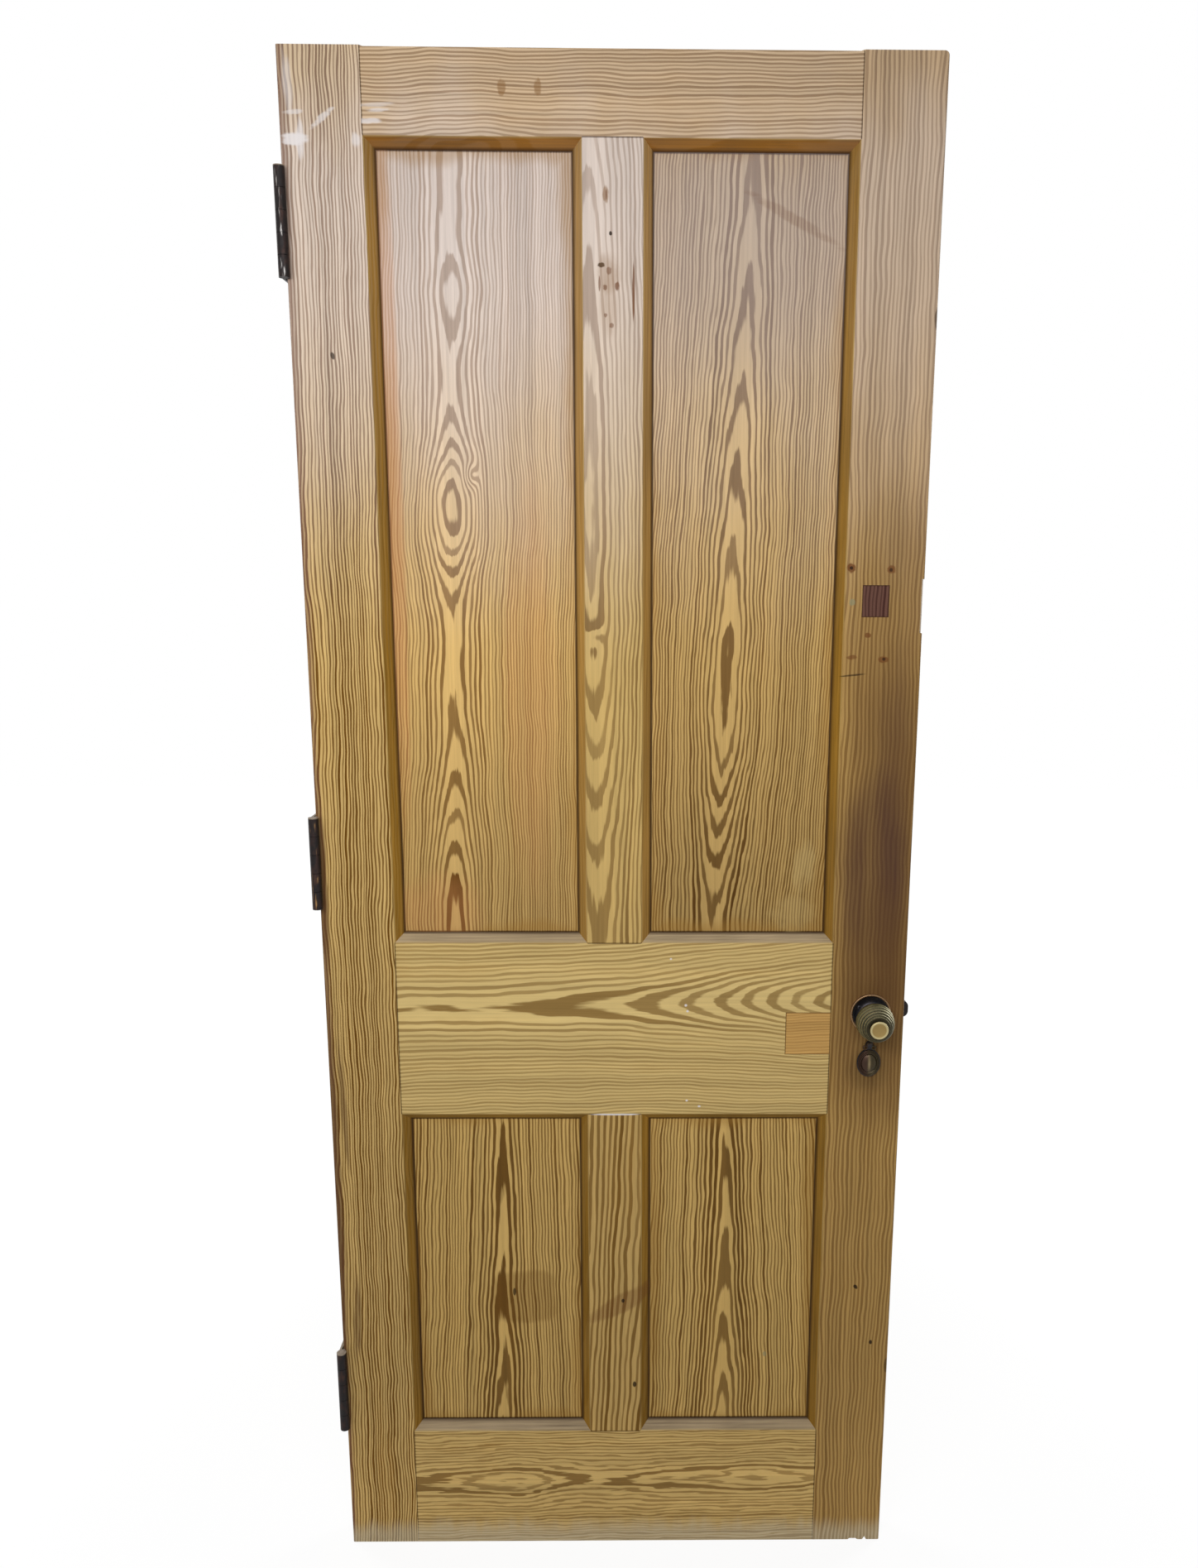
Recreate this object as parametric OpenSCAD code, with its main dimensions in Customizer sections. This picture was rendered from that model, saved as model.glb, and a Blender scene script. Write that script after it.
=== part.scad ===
// Reclaimed four-panel pitch pine door leaf
// with its butt hinges, mortice lock, beehive knobs and keyhole cover.
// +X points to the lock edge, -Y out of the front face, +Z up.
// The origin is the middle of the leaf's bottom edge.

/* [Door leaf] */
// Width of the leaf over both stiles
door_w = 762; // [700:1:860]
// Height of the leaf over the stiles
door_h = 1960; // [1880:1:2100]
// Thickness of the stiles, rails and muntins
door_t = 40; // [38:0.5:46]
// Face width of the hinge stile, up to its chamfer
hinge_stile_face = 93.5; // [80:0.5:120]
// Face width of the lock stile, up to its chamfer
lock_stile_face = 96.5; // [90:0.5:120]
// Face height of the top rail
top_rail_face = 91; // [80:0.5:130]
// Height that the stile tops stand above the top rail
stile_horn = 1.5; // [0.5:0.1:6]
// Face height of the lock rail
lock_rail_face = 238; // [225:0.5:280]
// Face height of the bottom rail
bottom_rail_face = 180.5; // [150:0.5:240]
// Height of the lower opening between rail faces
lower_opening = 485.5; // [380:1:560]
// Face width of the upper and lower muntins
muntin_face = 69.5; // [56:0.5:90]

/* [Moulding and panels] */
// Width and depth of the 45 degree chamfer round each panel
chamfer = 12; // [8:0.5:13]
// Thickness of the panels
panel_t = 13.8; // [10:0.1:13.8]
// Width of the panel groove, and thickness of the tenons
groove_w = 14; // [14:0.1:15]
// Depth of the panel groove
groove_d = 12; // [10:0.5:14]
// Gap left for the panel to swell in its groove
panel_play = 2; // [1:0.5:3]
// Radius of the worn outer arrises of the stiles
arris_r = 2.5; // [1:0.1:4]
// Radius of the knocked top corner on the lock side
corner_r = 6; // [2:0.5:12]

/* [Joinery] */
// Height of the top rail's tenon
top_tenon_h = 46; // [35:1:50]
// Height of each of the bottom rail's two tenons
bottom_tenon_h = 48; // [35:1:52]
// Distance of a tenon from the edge of its rail's face
tenon_inset = 6; // [4:1:10]
// Thickness of a wedge at the outer edge of the stile
wedge_t = 5; // [3:0.5:6]
// Thickness of a wedge at its thin end
wedge_tip = 1; // [0.6:0.1:1.5]
// Width of the muntins' stub tenons
stub_w = 46; // [35:1:52]
// Length of the muntins' stub tenons past the groove
stub_len = 26; // [15:1:35]

/* [Old repairs] */
// Width of the patch let into the lock rail
patch_w = 60; // [40:1:80]
// Height of that patch
patch_h = 59; // [40:1:80]
// Height of its lower edge above the lock rail's lower face edge
patch_up = 84.5; // [60:0.5:100]
// Depth that patch and plug are let into the face
repair_d = 7; // [5:0.5:10]
// Height of the old lock's place above the bottom edge
old_lock_z = 1339; // [1150:1:1500]
// Width of the plug in the old spindle hole
plug_w = 33.5; // [25:0.5:40]
// Height of that plug
plug_h = 39; // [30:0.5:50]
// Distance of the plug's middle from the lock edge
plug_in = 59.5; // [50:0.5:65]
// Height of the plug's middle above that of the old lock
plug_rise = 6; // [0:0.5:12]
// Length of the broken arris where the old lock's plate sat
nick_len = 66; // [40:1:90]
// Depth of that broken arris
nick_d = 3.5; // [2:0.5:6]

/* [Hinges] */
// Length of a hinge
hinge_len = 120; // [100:1:130]
// Width of a leaf from the pin's axis to its far edge
leaf_w = 36; // [30:0.5:42]
// Thickness of a leaf
leaf_t = 3; // [2.5:0.1:4]
// Gap between the closed leaves
leaf_gap = 2; // [1.2:0.1:3]
// Radius of the knuckles
knuckle_r = 6.5; // [5.5:0.1:7]
// Clearance round and between the knuckles
knuckle_gap = 0.5; // [0.3:0.1:0.8]
// Radius of the hinge pin
hinge_pin_r = 3.2; // [2.5:0.1:3.6]
// Distance from the top of the leaf to the top hinge's middle
top_hinge_down = 188; // [160:1:220]
// Height of the bottom hinge's middle above the bottom edge
bottom_hinge_up = 253; // [230:1:300]
// Radius of the screw holes in the leaves
hinge_hole_r = 2.6; // [2.4:0.1:3]
// Radius of the screws' shanks
hinge_screw_r = 2.2; // [1.8:0.1:2.3]
// Length of the hinge screws
hinge_screw_len = 32; // [20:1:40]

/* [Lock] */
// Distance from the lock edge to the spindle
backset = 44.5; // [44:0.5:52]
// Height of the spindle above the lock rail's lower face edge
spindle_up = 142.5; // [125:0.5:145]
// Distance from the spindle down to the keyhole
key_drop = 66; // [62:0.5:72]
// Thickness of the lock case
case_t = 15; // [14:0.5:17]
// Wall of the lock case
case_wall = 2; // [1.5:0.1:2.5]
// Thickness of the lock's cap
cap_t = 1.6; // [1.2:0.1:2]
// Thickness of the forend plate
forend_t = 3; // [2:0.1:4]
// Width of the forend plate
forend_w = 20; // [18:0.5:24]
// Length that the forend stands past the case at each end
forend_margin = 14; // [12:0.5:16]
// Height of the latch bolt's nose
latch_h = 22.5; // [20:0.5:30]
// Distance of the latch's middle above the spindle
latch_rise = 0.5; // [0:0.5:7]
// Projection of the latch bolt
latch_out = 8.5; // [8:0.1:10]
// Travel of the latch bolt
latch_travel = 10; // [8:0.1:10]
// Height of the dead bolt
bolt_h = 18; // [14:0.5:20]
// Throw of the dead bolt
bolt_throw = 14; // [10:0.5:14]

/* [Knobs] */
// Radius of the roses
rose_r = 27; // [25:0.5:32]
// Greatest radius of the knobs
knob_r = 21.5; // [19:0.5:24]
// Projection of a knob from the face of the door
knob_out = 62; // [51:0.5:66]
// Radius of the flat button in front of the knob
button_r = 11.8; // [10:0.1:12.5]
// Number of beads between the knob's shoulder and its button
bead_count = 4; // [2:1:4]
// Side of the square spindle
spindle_side = 7.8; // [7:0.1:8.2]

/* [Keyhole furniture] */
// Width of the keyhole cover
cover_w = 29.5; // [26:0.5:34]
// Height of the keyhole cover
cover_h = 37; // [35:0.5:44]
// Thickness of the cover at its crown
cover_t = 5; // [4:0.1:6]
// Height of the cover's pivot above the cover's middle
pivot_up = 25.5; // [24:0.5:28]
// Height of the keyhole above the cover's middle
key_rise = 3; // [1:0.5:5]
// Width of the keyhole's slot
key_slot_w = 5; // [4.5:0.1:6]

/* [Hidden] */
$fn = 64;
// Overshoot of a cut past the face that it opens
past = 1;
// Clearance of a piece that is driven or let into its hole
fit = 0.05;
// Clearance of a piece that slides or turns beside another
slip = 0.3;

// Edges and face lines of the leaf
edge = door_w / 2;
front = -door_t / 2;
left_arris = -edge + hinge_stile_face;
right_arris = edge - lock_stile_face;
bottom_arris = bottom_rail_face;
lock_low = bottom_arris + lower_opening;
lock_high = lock_low + lock_rail_face;
rail_top = door_h - stile_horn;
top_arris = rail_top - top_rail_face;
muntin_x = (left_arris + right_arris) / 2;
muntin_left = muntin_x - muntin_face / 2;
muntin_right = muntin_x + muntin_face / 2;
panel_tongue = groove_d - panel_play;

// Hinge places
pin_x = -edge - leaf_gap / 2;
pin_y = front - knuckle_r - knuckle_gap;
top_hinge_z = door_h - top_hinge_down;
hinge_clear = 6;
middle_hinge_z = max((top_hinge_z + bottom_hinge_up) / 2, lock_high + hinge_clear + hinge_len / 2);
HINGE_Z = [top_hinge_z, middle_hinge_z, bottom_hinge_up];
knuckles = 5;
screws_per_leaf = 4;
screw_end_margin = 16;
screw_pitch = (hinge_len - 2 * screw_end_margin) / (screws_per_leaf - 1);
screw_row_near = 15;
screw_edge = 8;
screw_row_far = leaf_w - screw_edge;
csk_r = 4.6;
csk_depth = 1.8;

// Follower and latch frame inside the lock
hub_r = 9;
cam_reach = 10;
cam_half = 14;
cam_t = 4;
arm_low = norm([cam_reach, cam_half]) + slip;
arm_t = 4;
arm_high = arm_low + arm_t;
cross_t = 3.5;
cross_face = cam_reach + slip;
spring_strip = 0.9;
spring_room = latch_travel + 2 * spring_strip + 2 * slip;
nose_t = 10.5;
nose_bevel = 8.5;
nose_back = hub_r + slip + latch_travel + slip;
frame_t = 6;

// Keyhole, the room for the key below it, and the lift from its round head up to the bolt
key_round_r = 4;
key_len = 13;
key_room = 16;
key_lift = 4;

// Lock places
spindle_x = edge - backset;
spindle_z = lock_low + spindle_up;
key_z = spindle_z - key_drop;
case_top = spindle_z + arm_high + slip + case_wall;
case_low = key_z - key_room;
case_back = spindle_x - cross_face - cross_t - spring_room - case_wall;
case_front = edge - forend_t;
forend_top = case_top + forend_margin;
forend_low = case_low - forend_margin;
latch_z = spindle_z + latch_rise;
bolt_low = key_z + key_round_r + key_lift;
bolt_z = bolt_low + bolt_h / 2;
bolt_t = 10;
guide_r = 2;
guide_off = 4;
guide_x = spindle_x + guide_off;
tail_web = 5;
bolt_tail = guide_x - bolt_throw - guide_r - tail_web;
cap_face = case_t / 2 - cap_t;
forend_screw_r = 2;
forend_screw_len = 22;
cap_screw_r = 1.5;
pillar_r = 3;
pillar_sink = 0.8;
pillar_set = case_wall + pillar_r - pillar_sink;
pillar_in = 5;
spindle_hole_r = 11;

// Tenons as height of the lower edge and height, for each through-tenoned rail
top_tenons = [[top_arris + tenon_inset, top_tenon_h]];
lock_low_tenon = lock_low + tenon_inset;
lock_high_tenon = forend_top + wedge_t + tenon_inset;
lock_tenons = [[lock_low_tenon, forend_low - wedge_t - past - lock_low_tenon],
    [lock_high_tenon, lock_high - tenon_inset - lock_high_tenon]];
tenon_gap = 3 * tenon_inset;
bottom_high_tenon = bottom_arris - tenon_inset - bottom_tenon_h;
bottom_tenons = [[bottom_high_tenon - tenon_gap - bottom_tenon_h, bottom_tenon_h],
    [bottom_high_tenon, bottom_tenon_h]];
ALL_TENONS = concat(top_tenons, lock_tenons, bottom_tenons);

// Furniture on the faces
rose_t = 3.5;
rose_base = 1.6;
rose_rim = 3;
collar_r = 12.5;
collar_h = 6;
collar_foot = 4;
collar_bevel = 1;
neck_r = 8.6;
rose_screw_r = 1.4;
rose_screw_ring = 18;
rose_screw_len = 12;
knob_solid = 16;
spindle_half = door_t / 2 + knob_out - knob_solid;
grub_r = 2;
grub_up = 9;
cover_z = key_z - key_rise;
pivot_z = cover_z + pivot_up;
plate_t = 2;
plate_rim = 1;
pivot_r = 5;
neck_less = 1;
eye_neck = pivot_r - neck_less;
neck_in = 4;
eye_t = 2.2;
cover_pin_r = 1.6;
cover_pin_in = 6;
cover_dome_r = 60;
nail_r = 0.9;
nail_len = 11;
nail_in = 3;

// Colours
pine = "#b08a52";
pine_panel = "#bd975c";
iron = "#3b3532";
brass = "#8a7a46";
bronze = "#3a302a";
steel = "#77736d";

// An edge of a stile, rail or muntin: face line, chamfer, quirk and panel groove; or a square edge
function stuck_edge(face, out) = [
    [face, front], [face + out * chamfer, front + chamfer], [face + out * chamfer, -groove_w / 2],
    [face + out * (chamfer - groove_d), -groove_w / 2], [face + out * (chamfer - groove_d), groove_w / 2],
    [face + out * chamfer, groove_w / 2], [face + out * chamfer, -front - chamfer], [face, -front]];
function square_edge(face) = [[face, front], [face, -front]];
function backwards(points) = [for (i = [len(points) - 1 : -1 : 0]) points[i]];

// Cross-section between two edges, width along x and thickness along y
module section(low_edge, high_edge) {
    polygon(concat(high_edge, backwards(low_edge)));
}

// Plan of a piece whose ends are scribed over the chamfers of the pieces that it meets
module scribed_plan(low, high) {
    section(stuck_edge(low, 1), stuck_edge(high, -1));
}

// Stand a flat shape drawn in x and z up as a slab from y0 to y1
module slab(y0, y1) {
    translate([0, y1, 0]) rotate([90, 0, 0]) linear_extrude(y1 - y0) children();
}

// Lay a cross-section drawn in z and y along the x axis
module along_x(x0, x1) {
    translate([x1, 0, 0]) rotate([0, -90, 0]) linear_extrude(x1 - x0) children();
}

// Put a shape drawn outwards along z on the front or back face
module on_front(x, z) {
    translate([x, front, z]) rotate([90, 0, 0]) children();
}
module on_back(x, z) {
    mirror([0, 1, 0]) on_front(x, z) children();
}

module ring(r_out, r_in, h) {
    difference() {
        cylinder(r = r_out, h = h);
        translate([0, 0, -past]) cylinder(r = r_in, h = h + 2 * past);
    }
}

// Through tenons, and the tapered wedges above and below each of them
module tenon_shape(x_in, x_out, tenons) {
    for (t = tenons)
        translate([min(x_in, x_out), t[0]]) square([abs(x_out - x_in), t[1]]);
}
module wedge_shapes(x_in, x_out, tenons) {
    for (t = tenons) {
        polygon([[x_in, t[0]], [x_out, t[0]], [x_out, t[0] - wedge_t], [x_in, t[0] - wedge_tip]]);
        polygon([[x_in, t[0] + t[1]], [x_out, t[0] + t[1]],
            [x_out, t[0] + t[1] + wedge_t], [x_in, t[0] + t[1] + wedge_tip]]);
    }
}
wedge_share = 0.72;
hinge_wedge_in = -edge + wedge_share * hinge_stile_face;
lock_wedge_in = edge - wedge_share * backset;

module mortices(x_face, x_in, x_out, tenons) {
    slab(-groove_w / 2, groove_w / 2) {
        tenon_shape(x_face, x_out, tenons);
        wedge_shapes(x_in, x_out, tenons);
    }
}

// Worn outer arris: what is taken off a square corner to leave a round
module arris_off(r) {
    difference() {
        translate([-past, -past]) square(r + past);
        translate([r, r]) circle(r);
    }
}

// Flat outline of a stile, square at its outer edge with both arrises worn round
module stile_section(outer, arris, into) {
    difference() {
        if (into > 0) section(square_edge(outer), stuck_edge(arris, 1));
        else section(stuck_edge(arris, -1), square_edge(outer));
        for (s = [-1, 1])
            translate([outer, s * front])
                mirror([into < 0 ? 1 : 0, 0]) mirror([0, s < 0 ? 1 : 0]) arris_off(arris_r);
    }
}

module hinge_recess(z) {
    translate([-edge - past, front - past, z - hinge_len / 2])
        cube([leaf_t + past, pin_y + leaf_w - front + past, hinge_len]);
}

// Holes that the hinge screws need in a leaf, or in the stile behind it
module hinge_screw_places(z, near_first) {
    for (i = [0 : screws_per_leaf - 1]) {
        row = (i % 2 == 0) == near_first ? screw_row_near : screw_row_far;
        translate([0, pin_y + row, z - hinge_len / 2 + screw_end_margin + i * screw_pitch]) children();
    }
}

module hinge_stile() {
    color(pine)
    difference() {
        linear_extrude(door_h) stile_section(-edge, left_arris, 1);
        mortices(left_arris, hinge_wedge_in, -edge, ALL_TENONS);
        for (z = HINGE_Z) {
            hinge_recess(z);
            hinge_screw_places(z, false)
                translate([-edge, 0, 0]) rotate([0, 90, 0])
                    cylinder(r = hinge_screw_r + fit, h = hinge_screw_len);
        }
    }
}

// Keyhole with a round head and a straight slot below it
module keyhole_shape() {
    circle(key_round_r);
    translate([-key_slot_w / 2, -key_len]) square([key_slot_w, key_len]);
}

// Room in the stile for the lock case and its forend
module lock_room() {
    translate([case_back - fit, -case_t / 2 - fit, case_low - fit])
        cube([edge - case_back + past, case_t + 2 * fit, case_top - case_low + 2 * fit]);
    translate([case_front, -forend_w / 2 - fit, forend_low - fit])
        cube([forend_t + past, forend_w + 2 * fit, forend_top - forend_low + 2 * fit]);
}

module forend_screw_places() {
    for (z = [forend_low + forend_margin / 2, forend_top - forend_margin / 2])
        translate([edge, 0, z]) rotate([0, -90, 0]) children();
}
module rose_screw_places() {
    for (a = [30, 150, 270])
        rotate([0, 0, a]) translate([rose_screw_ring, 0, 0]) children();
}
module nail_places() {
    for (s = [-1, 1])
        translate([s * (cover_w / 2 - nail_in), cover_z, 0]) children();
}

// Broken arris where an older lock plate sat, and the chips at the foot of the lock stile
module old_lock_nick() {
    nick_back = 3 * nick_d;
    translate([edge, front, old_lock_z - nick_len / 2])
        linear_extrude(nick_len)
            polygon([[past, -past], [past, nick_back], [-nick_d, nick_d], [-nick_d, -past]]);
}
module foot_chips() {
    chip_d = 9;
    notch_in = 21.5;
    notch_w = 7;
    notch_h = 5;
    chip_in = 38;
    chip_w = 16;
    chip_h = 2;
    slab(front - past, front + chip_d) {
        translate([edge - notch_in, 0])
            polygon([[-notch_w / 2, -past], [notch_w / 2, -past], [0, notch_h]]);
        translate([edge - chip_in, 0])
            polygon([[-chip_w / 2, -past], [chip_w / 2, -past], [chip_w / 4, chip_h], [-chip_w / 3, chip_h]]);
    }
}
module plug_shape() {
    translate([edge - plug_in - plug_w / 2, old_lock_z + plug_rise - plug_h / 2]) square([plug_w, plug_h]);
}
module patch_shape() {
    translate([right_arris - patch_w, lock_low + patch_up]) square([patch_w, patch_h]);
}

module lock_stile() {
    color(pine)
    difference() {
        linear_extrude(door_h) stile_section(edge, right_arris, -1);
        mortices(right_arris, lock_wedge_in, edge, ALL_TENONS);
        lock_room();
        forend_screw_places() cylinder(r = forend_screw_r + fit, h = forend_screw_len);
        slab(front - past, -front + past) {
            translate([spindle_x, spindle_z]) circle(spindle_hole_r);
            translate([spindle_x, key_z]) keyhole_shape();
        }
        for (side = [0, 1])
            mirror([0, side, 0]) {
                on_front(spindle_x, spindle_z) rose_screw_places()
                    translate([0, 0, rose_base - rose_screw_len])
                        cylinder(r = rose_screw_r + fit, h = rose_screw_len);
                on_front(spindle_x, 0) nail_places()
                    translate([0, 0, plate_t - nail_len]) cylinder(r = nail_r + fit, h = nail_len);
            }
        on_front(spindle_x, pivot_z)
            translate([0, 0, -cover_pin_in]) cylinder(r = cover_pin_r + fit, h = cover_pin_in + past);
        old_lock_nick();
        foot_chips();
        slab(front - past, front + repair_d) plug_shape();
        slab(front - past, -front + past) translate([edge, door_h]) rotate(180) arris_off(corner_r);
    }
}

// A rail: its section run along x, its ends scribed to the stiles, and its tenons
module rail(low_edge, high_edge, tenons) {
    intersection() {
        along_x(left_arris - chamfer, right_arris + chamfer) section(low_edge, high_edge);
        linear_extrude(door_h) scribed_plan(left_arris, right_arris);
    }
    slab(-groove_w / 2, groove_w / 2) {
        tenon_shape(left_arris + chamfer - groove_d, -edge, tenons);
        tenon_shape(right_arris - chamfer + groove_d, edge, tenons);
    }
}

// Mortice for a muntin's stub tenon, from the bottom of a rail's groove
module stub_mortice(z0, z1) {
    translate([muntin_x - stub_w / 2, -groove_w / 2, z0]) cube([stub_w, groove_w, z1 - z0]);
}

module top_rail() {
    color(pine)
    difference() {
        rail(stuck_edge(top_arris, -1), square_edge(rail_top), top_tenons);
        stub_mortice(top_arris - chamfer, top_arris - chamfer + groove_d + stub_len);
    }
}
module lock_rail() {
    color(pine)
    difference() {
        rail(stuck_edge(lock_low, -1), stuck_edge(lock_high, 1), lock_tenons);
        stub_mortice(lock_low - chamfer, lock_low - chamfer + groove_d + stub_len);
        stub_mortice(lock_high + chamfer - groove_d - stub_len, lock_high + chamfer);
        slab(front - past, front + repair_d) patch_shape();
    }
}
module bottom_rail() {
    color(pine)
    difference() {
        rail(square_edge(0), stuck_edge(bottom_arris, 1), bottom_tenons);
        stub_mortice(bottom_arris + chamfer - groove_d - stub_len, bottom_arris + chamfer);
    }
}

// A muntin between two rails' face lines, scribed over their chamfers, with a stub tenon at each end
module muntin(low, high) {
    intersection() {
        linear_extrude(door_h) section(stuck_edge(muntin_left, -1), stuck_edge(muntin_right, 1));
        along_x(-edge, edge) scribed_plan(low, high);
    }
    stub_mortice(low + chamfer - groove_d - stub_len, low + chamfer);
    stub_mortice(high - chamfer, high - chamfer + groove_d + stub_len);
}
module upper_muntin() {
    color(pine) muntin(lock_high, top_arris);
}
module lower_muntin() {
    color(pine) muntin(bottom_arris, lock_low);
}

// A panel between the face lines of its stile, muntin and rails
module panel(left, right, low, high) {
    reach = chamfer - panel_tongue;
    color(pine_panel)
    translate([left + reach, -panel_t / 2, low + reach])
        cube([right - left - 2 * reach, panel_t, high - low - 2 * reach]);
}
module upper_left_panel() {
    panel(left_arris, muntin_left, lock_high, top_arris);
}
module upper_right_panel() {
    panel(muntin_right, right_arris, lock_high, top_arris);
}
module lower_left_panel() {
    panel(left_arris, muntin_left, bottom_arris, lock_low);
}
module lower_right_panel() {
    panel(muntin_right, right_arris, bottom_arris, lock_low);
}

module tenon_wedges() {
    color(pine_panel)
    slab(-groove_w / 2, groove_w / 2) {
        wedge_shapes(hinge_wedge_in, -edge, ALL_TENONS);
        wedge_shapes(lock_wedge_in, edge, ALL_TENONS);
    }
}
module rail_patch() {
    color("#b98548")
    intersection() {
        slab(front, front + repair_d) patch_shape();
        linear_extrude(door_h) scribed_plan(left_arris, right_arris);
    }
}
module stile_plug() {
    color("#6d4a40") slab(front, front + repair_d) plug_shape();
}

// Butt hinge leaf about the pin's axis: side 1 is let into the door's edge, side -1 goes on the frame
module countersunk_hole() {
    translate([0, 0, -leaf_t - past]) cylinder(r = hinge_hole_r, h = leaf_t + 2 * past);
    translate([0, 0, -csk_depth]) cylinder(r1 = hinge_hole_r, r2 = csk_r, h = csk_depth);
    cylinder(r = csk_r, h = past);
}
module knuckle(i, r, extra) {
    pitch = hinge_len / knuckles;
    low = i == 0 ? 0 : knuckle_gap / 2 - extra;
    high = i == knuckles - 1 ? pitch : pitch - knuckle_gap / 2 + extra;
    translate([0, 0, -hinge_len / 2 + i * pitch + low]) cylinder(r = r, h = high - low);
}
module hinge_leaf(z, side) {
    first = side > 0 ? 1 : 0;
    color(iron)
    difference() {
        translate([pin_x, pin_y, z]) {
            difference() {
                translate([side > 0 ? leaf_gap / 2 : -leaf_gap / 2 - leaf_t, 0, -hinge_len / 2])
                    cube([leaf_t, leaf_w, hinge_len]);
                for (i = [1 - first : 2 : knuckles - 1])
                    knuckle(i, knuckle_r + knuckle_gap, knuckle_gap);
            }
            for (i = [first : 2 : knuckles - 1])
                knuckle(i, knuckle_r, 0);
        }
        translate([pin_x, pin_y, z - hinge_len / 2 - past])
            cylinder(r = hinge_pin_r + fit, h = hinge_len + 2 * past);
        hinge_screw_places(z, side < 0)
            translate([pin_x + side * leaf_gap / 2, 0, 0])
                rotate([0, side > 0 ? -90 : 90, 0]) countersunk_hole();
    }
}
module hinge_pin(z) {
    color(iron) translate([pin_x, pin_y, z - hinge_len / 2]) cylinder(r = hinge_pin_r, h = hinge_len);
}
module top_hinge_frame_leaf() {
    hinge_leaf(top_hinge_z, -1);
}
module middle_hinge_frame_leaf() {
    hinge_leaf(middle_hinge_z, -1);
}
module bottom_hinge_frame_leaf() {
    hinge_leaf(bottom_hinge_up, -1);
}
module top_hinge_door_leaf() {
    hinge_leaf(top_hinge_z, 1);
}
module middle_hinge_door_leaf() {
    hinge_leaf(middle_hinge_z, 1);
}
module bottom_hinge_door_leaf() {
    hinge_leaf(bottom_hinge_up, 1);
}
module top_hinge_pin() {
    hinge_pin(top_hinge_z);
}
module middle_hinge_pin() {
    hinge_pin(middle_hinge_z);
}
module bottom_hinge_pin() {
    hinge_pin(bottom_hinge_up);
}

// Countersunk slotted wood screw, drawn with its head's face at z = 0 and its shank below
module wood_screw(r, head_r, head_h, length) {
    slot_w = 0.9;
    difference() {
        union() {
            translate([0, 0, -head_h]) cylinder(r1 = r, r2 = head_r, h = head_h);
            translate([0, 0, -length]) cylinder(r = r, h = length - head_h);
        }
        translate([-head_r - past, -slot_w / 2, -head_h / 3]) cube([2 * (head_r + past), slot_w, head_h]);
    }
}
module hinge_screws() {
    color(iron)
    for (z = HINGE_Z)
        hinge_screw_places(z, false)
            translate([-edge, 0, 0]) rotate([0, -90, 0])
                wood_screw(hinge_screw_r, csk_r - fit, csk_depth, hinge_screw_len);
}

// Lock case: a box open on the cap's side, with pillars for the cap and a guide stud for the bolt
pillar_places = [[case_back + pillar_set, case_low + pillar_set],
    [case_front - case_wall - pillar_in, case_low + pillar_set],
    [case_back + pillar_set, (bolt_low + bolt_h + spindle_z - arm_high) / 2]];
module bolt_mouths(x0, x1) {
    translate([x0, -nose_t / 2 - slip, latch_z - latch_h / 2 - slip])
        cube([x1 - x0, nose_t + 2 * slip, latch_h + 2 * slip]);
    translate([x0, -bolt_t / 2 - slip, bolt_low - slip])
        cube([x1 - x0, bolt_t + 2 * slip, bolt_h + 2 * slip]);
}
module case_outline() {
    translate([case_back, case_low]) square([case_front - case_back, case_top - case_low]);
}
module lock_holes() {
    translate([spindle_x, spindle_z]) circle(hub_r + fit);
    translate([spindle_x, key_z]) keyhole_shape();
}
module lock_case() {
    color(steel)
    difference() {
        union() {
            difference() {
                slab(-case_t / 2, cap_face) case_outline();
                slab(-case_t / 2 + case_wall, case_t)
                    translate([case_back + case_wall, case_low + case_wall])
                        square([case_front - case_back - 2 * case_wall, case_top - case_low - 2 * case_wall]);
                bolt_mouths(case_front - case_wall - past, case_front + past);
            }
            slab(-case_t / 2, cap_face) {
                for (p = pillar_places)
                    translate(p) circle(pillar_r);
                translate([guide_x, bolt_z]) circle(guide_r);
            }
        }
        slab(-case_t / 2 - past, case_t / 2) {
            lock_holes();
            for (p = pillar_places)
                translate(p) circle(cap_screw_r + fit);
        }
    }
}
module lock_cap() {
    color(steel)
    slab(cap_face, case_t / 2)
        difference() {
            case_outline();
            lock_holes();
            for (p = pillar_places)
                translate(p) circle(cap_screw_r + fit);
        }
}
module cap_screws() {
    color(steel)
    slab(-case_t / 2 + case_wall, case_t / 2)
        for (p = pillar_places)
            translate(p) circle(cap_screw_r);
}
module lock_forend() {
    color(bronze)
    difference() {
        translate([case_front, -forend_w / 2, forend_low])
            cube([forend_t, forend_w, forend_top - forend_low]);
        bolt_mouths(case_front - past, edge + past);
        forend_screw_places() mirror([0, 0, 1]) {
            translate([0, 0, -forend_t - past]) cylinder(r = forend_screw_r + fit, h = forend_t + 2 * past);
            translate([0, 0, -forend_screw_r])
                cylinder(r1 = forend_screw_r + fit, r2 = 2 * forend_screw_r + fit, h = forend_screw_r);
        }
    }
}
module forend_screws() {
    color(bronze)
    forend_screw_places() mirror([0, 0, 1])
        wood_screw(forend_screw_r, 2 * forend_screw_r, forend_screw_r, forend_screw_len);
}

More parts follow.
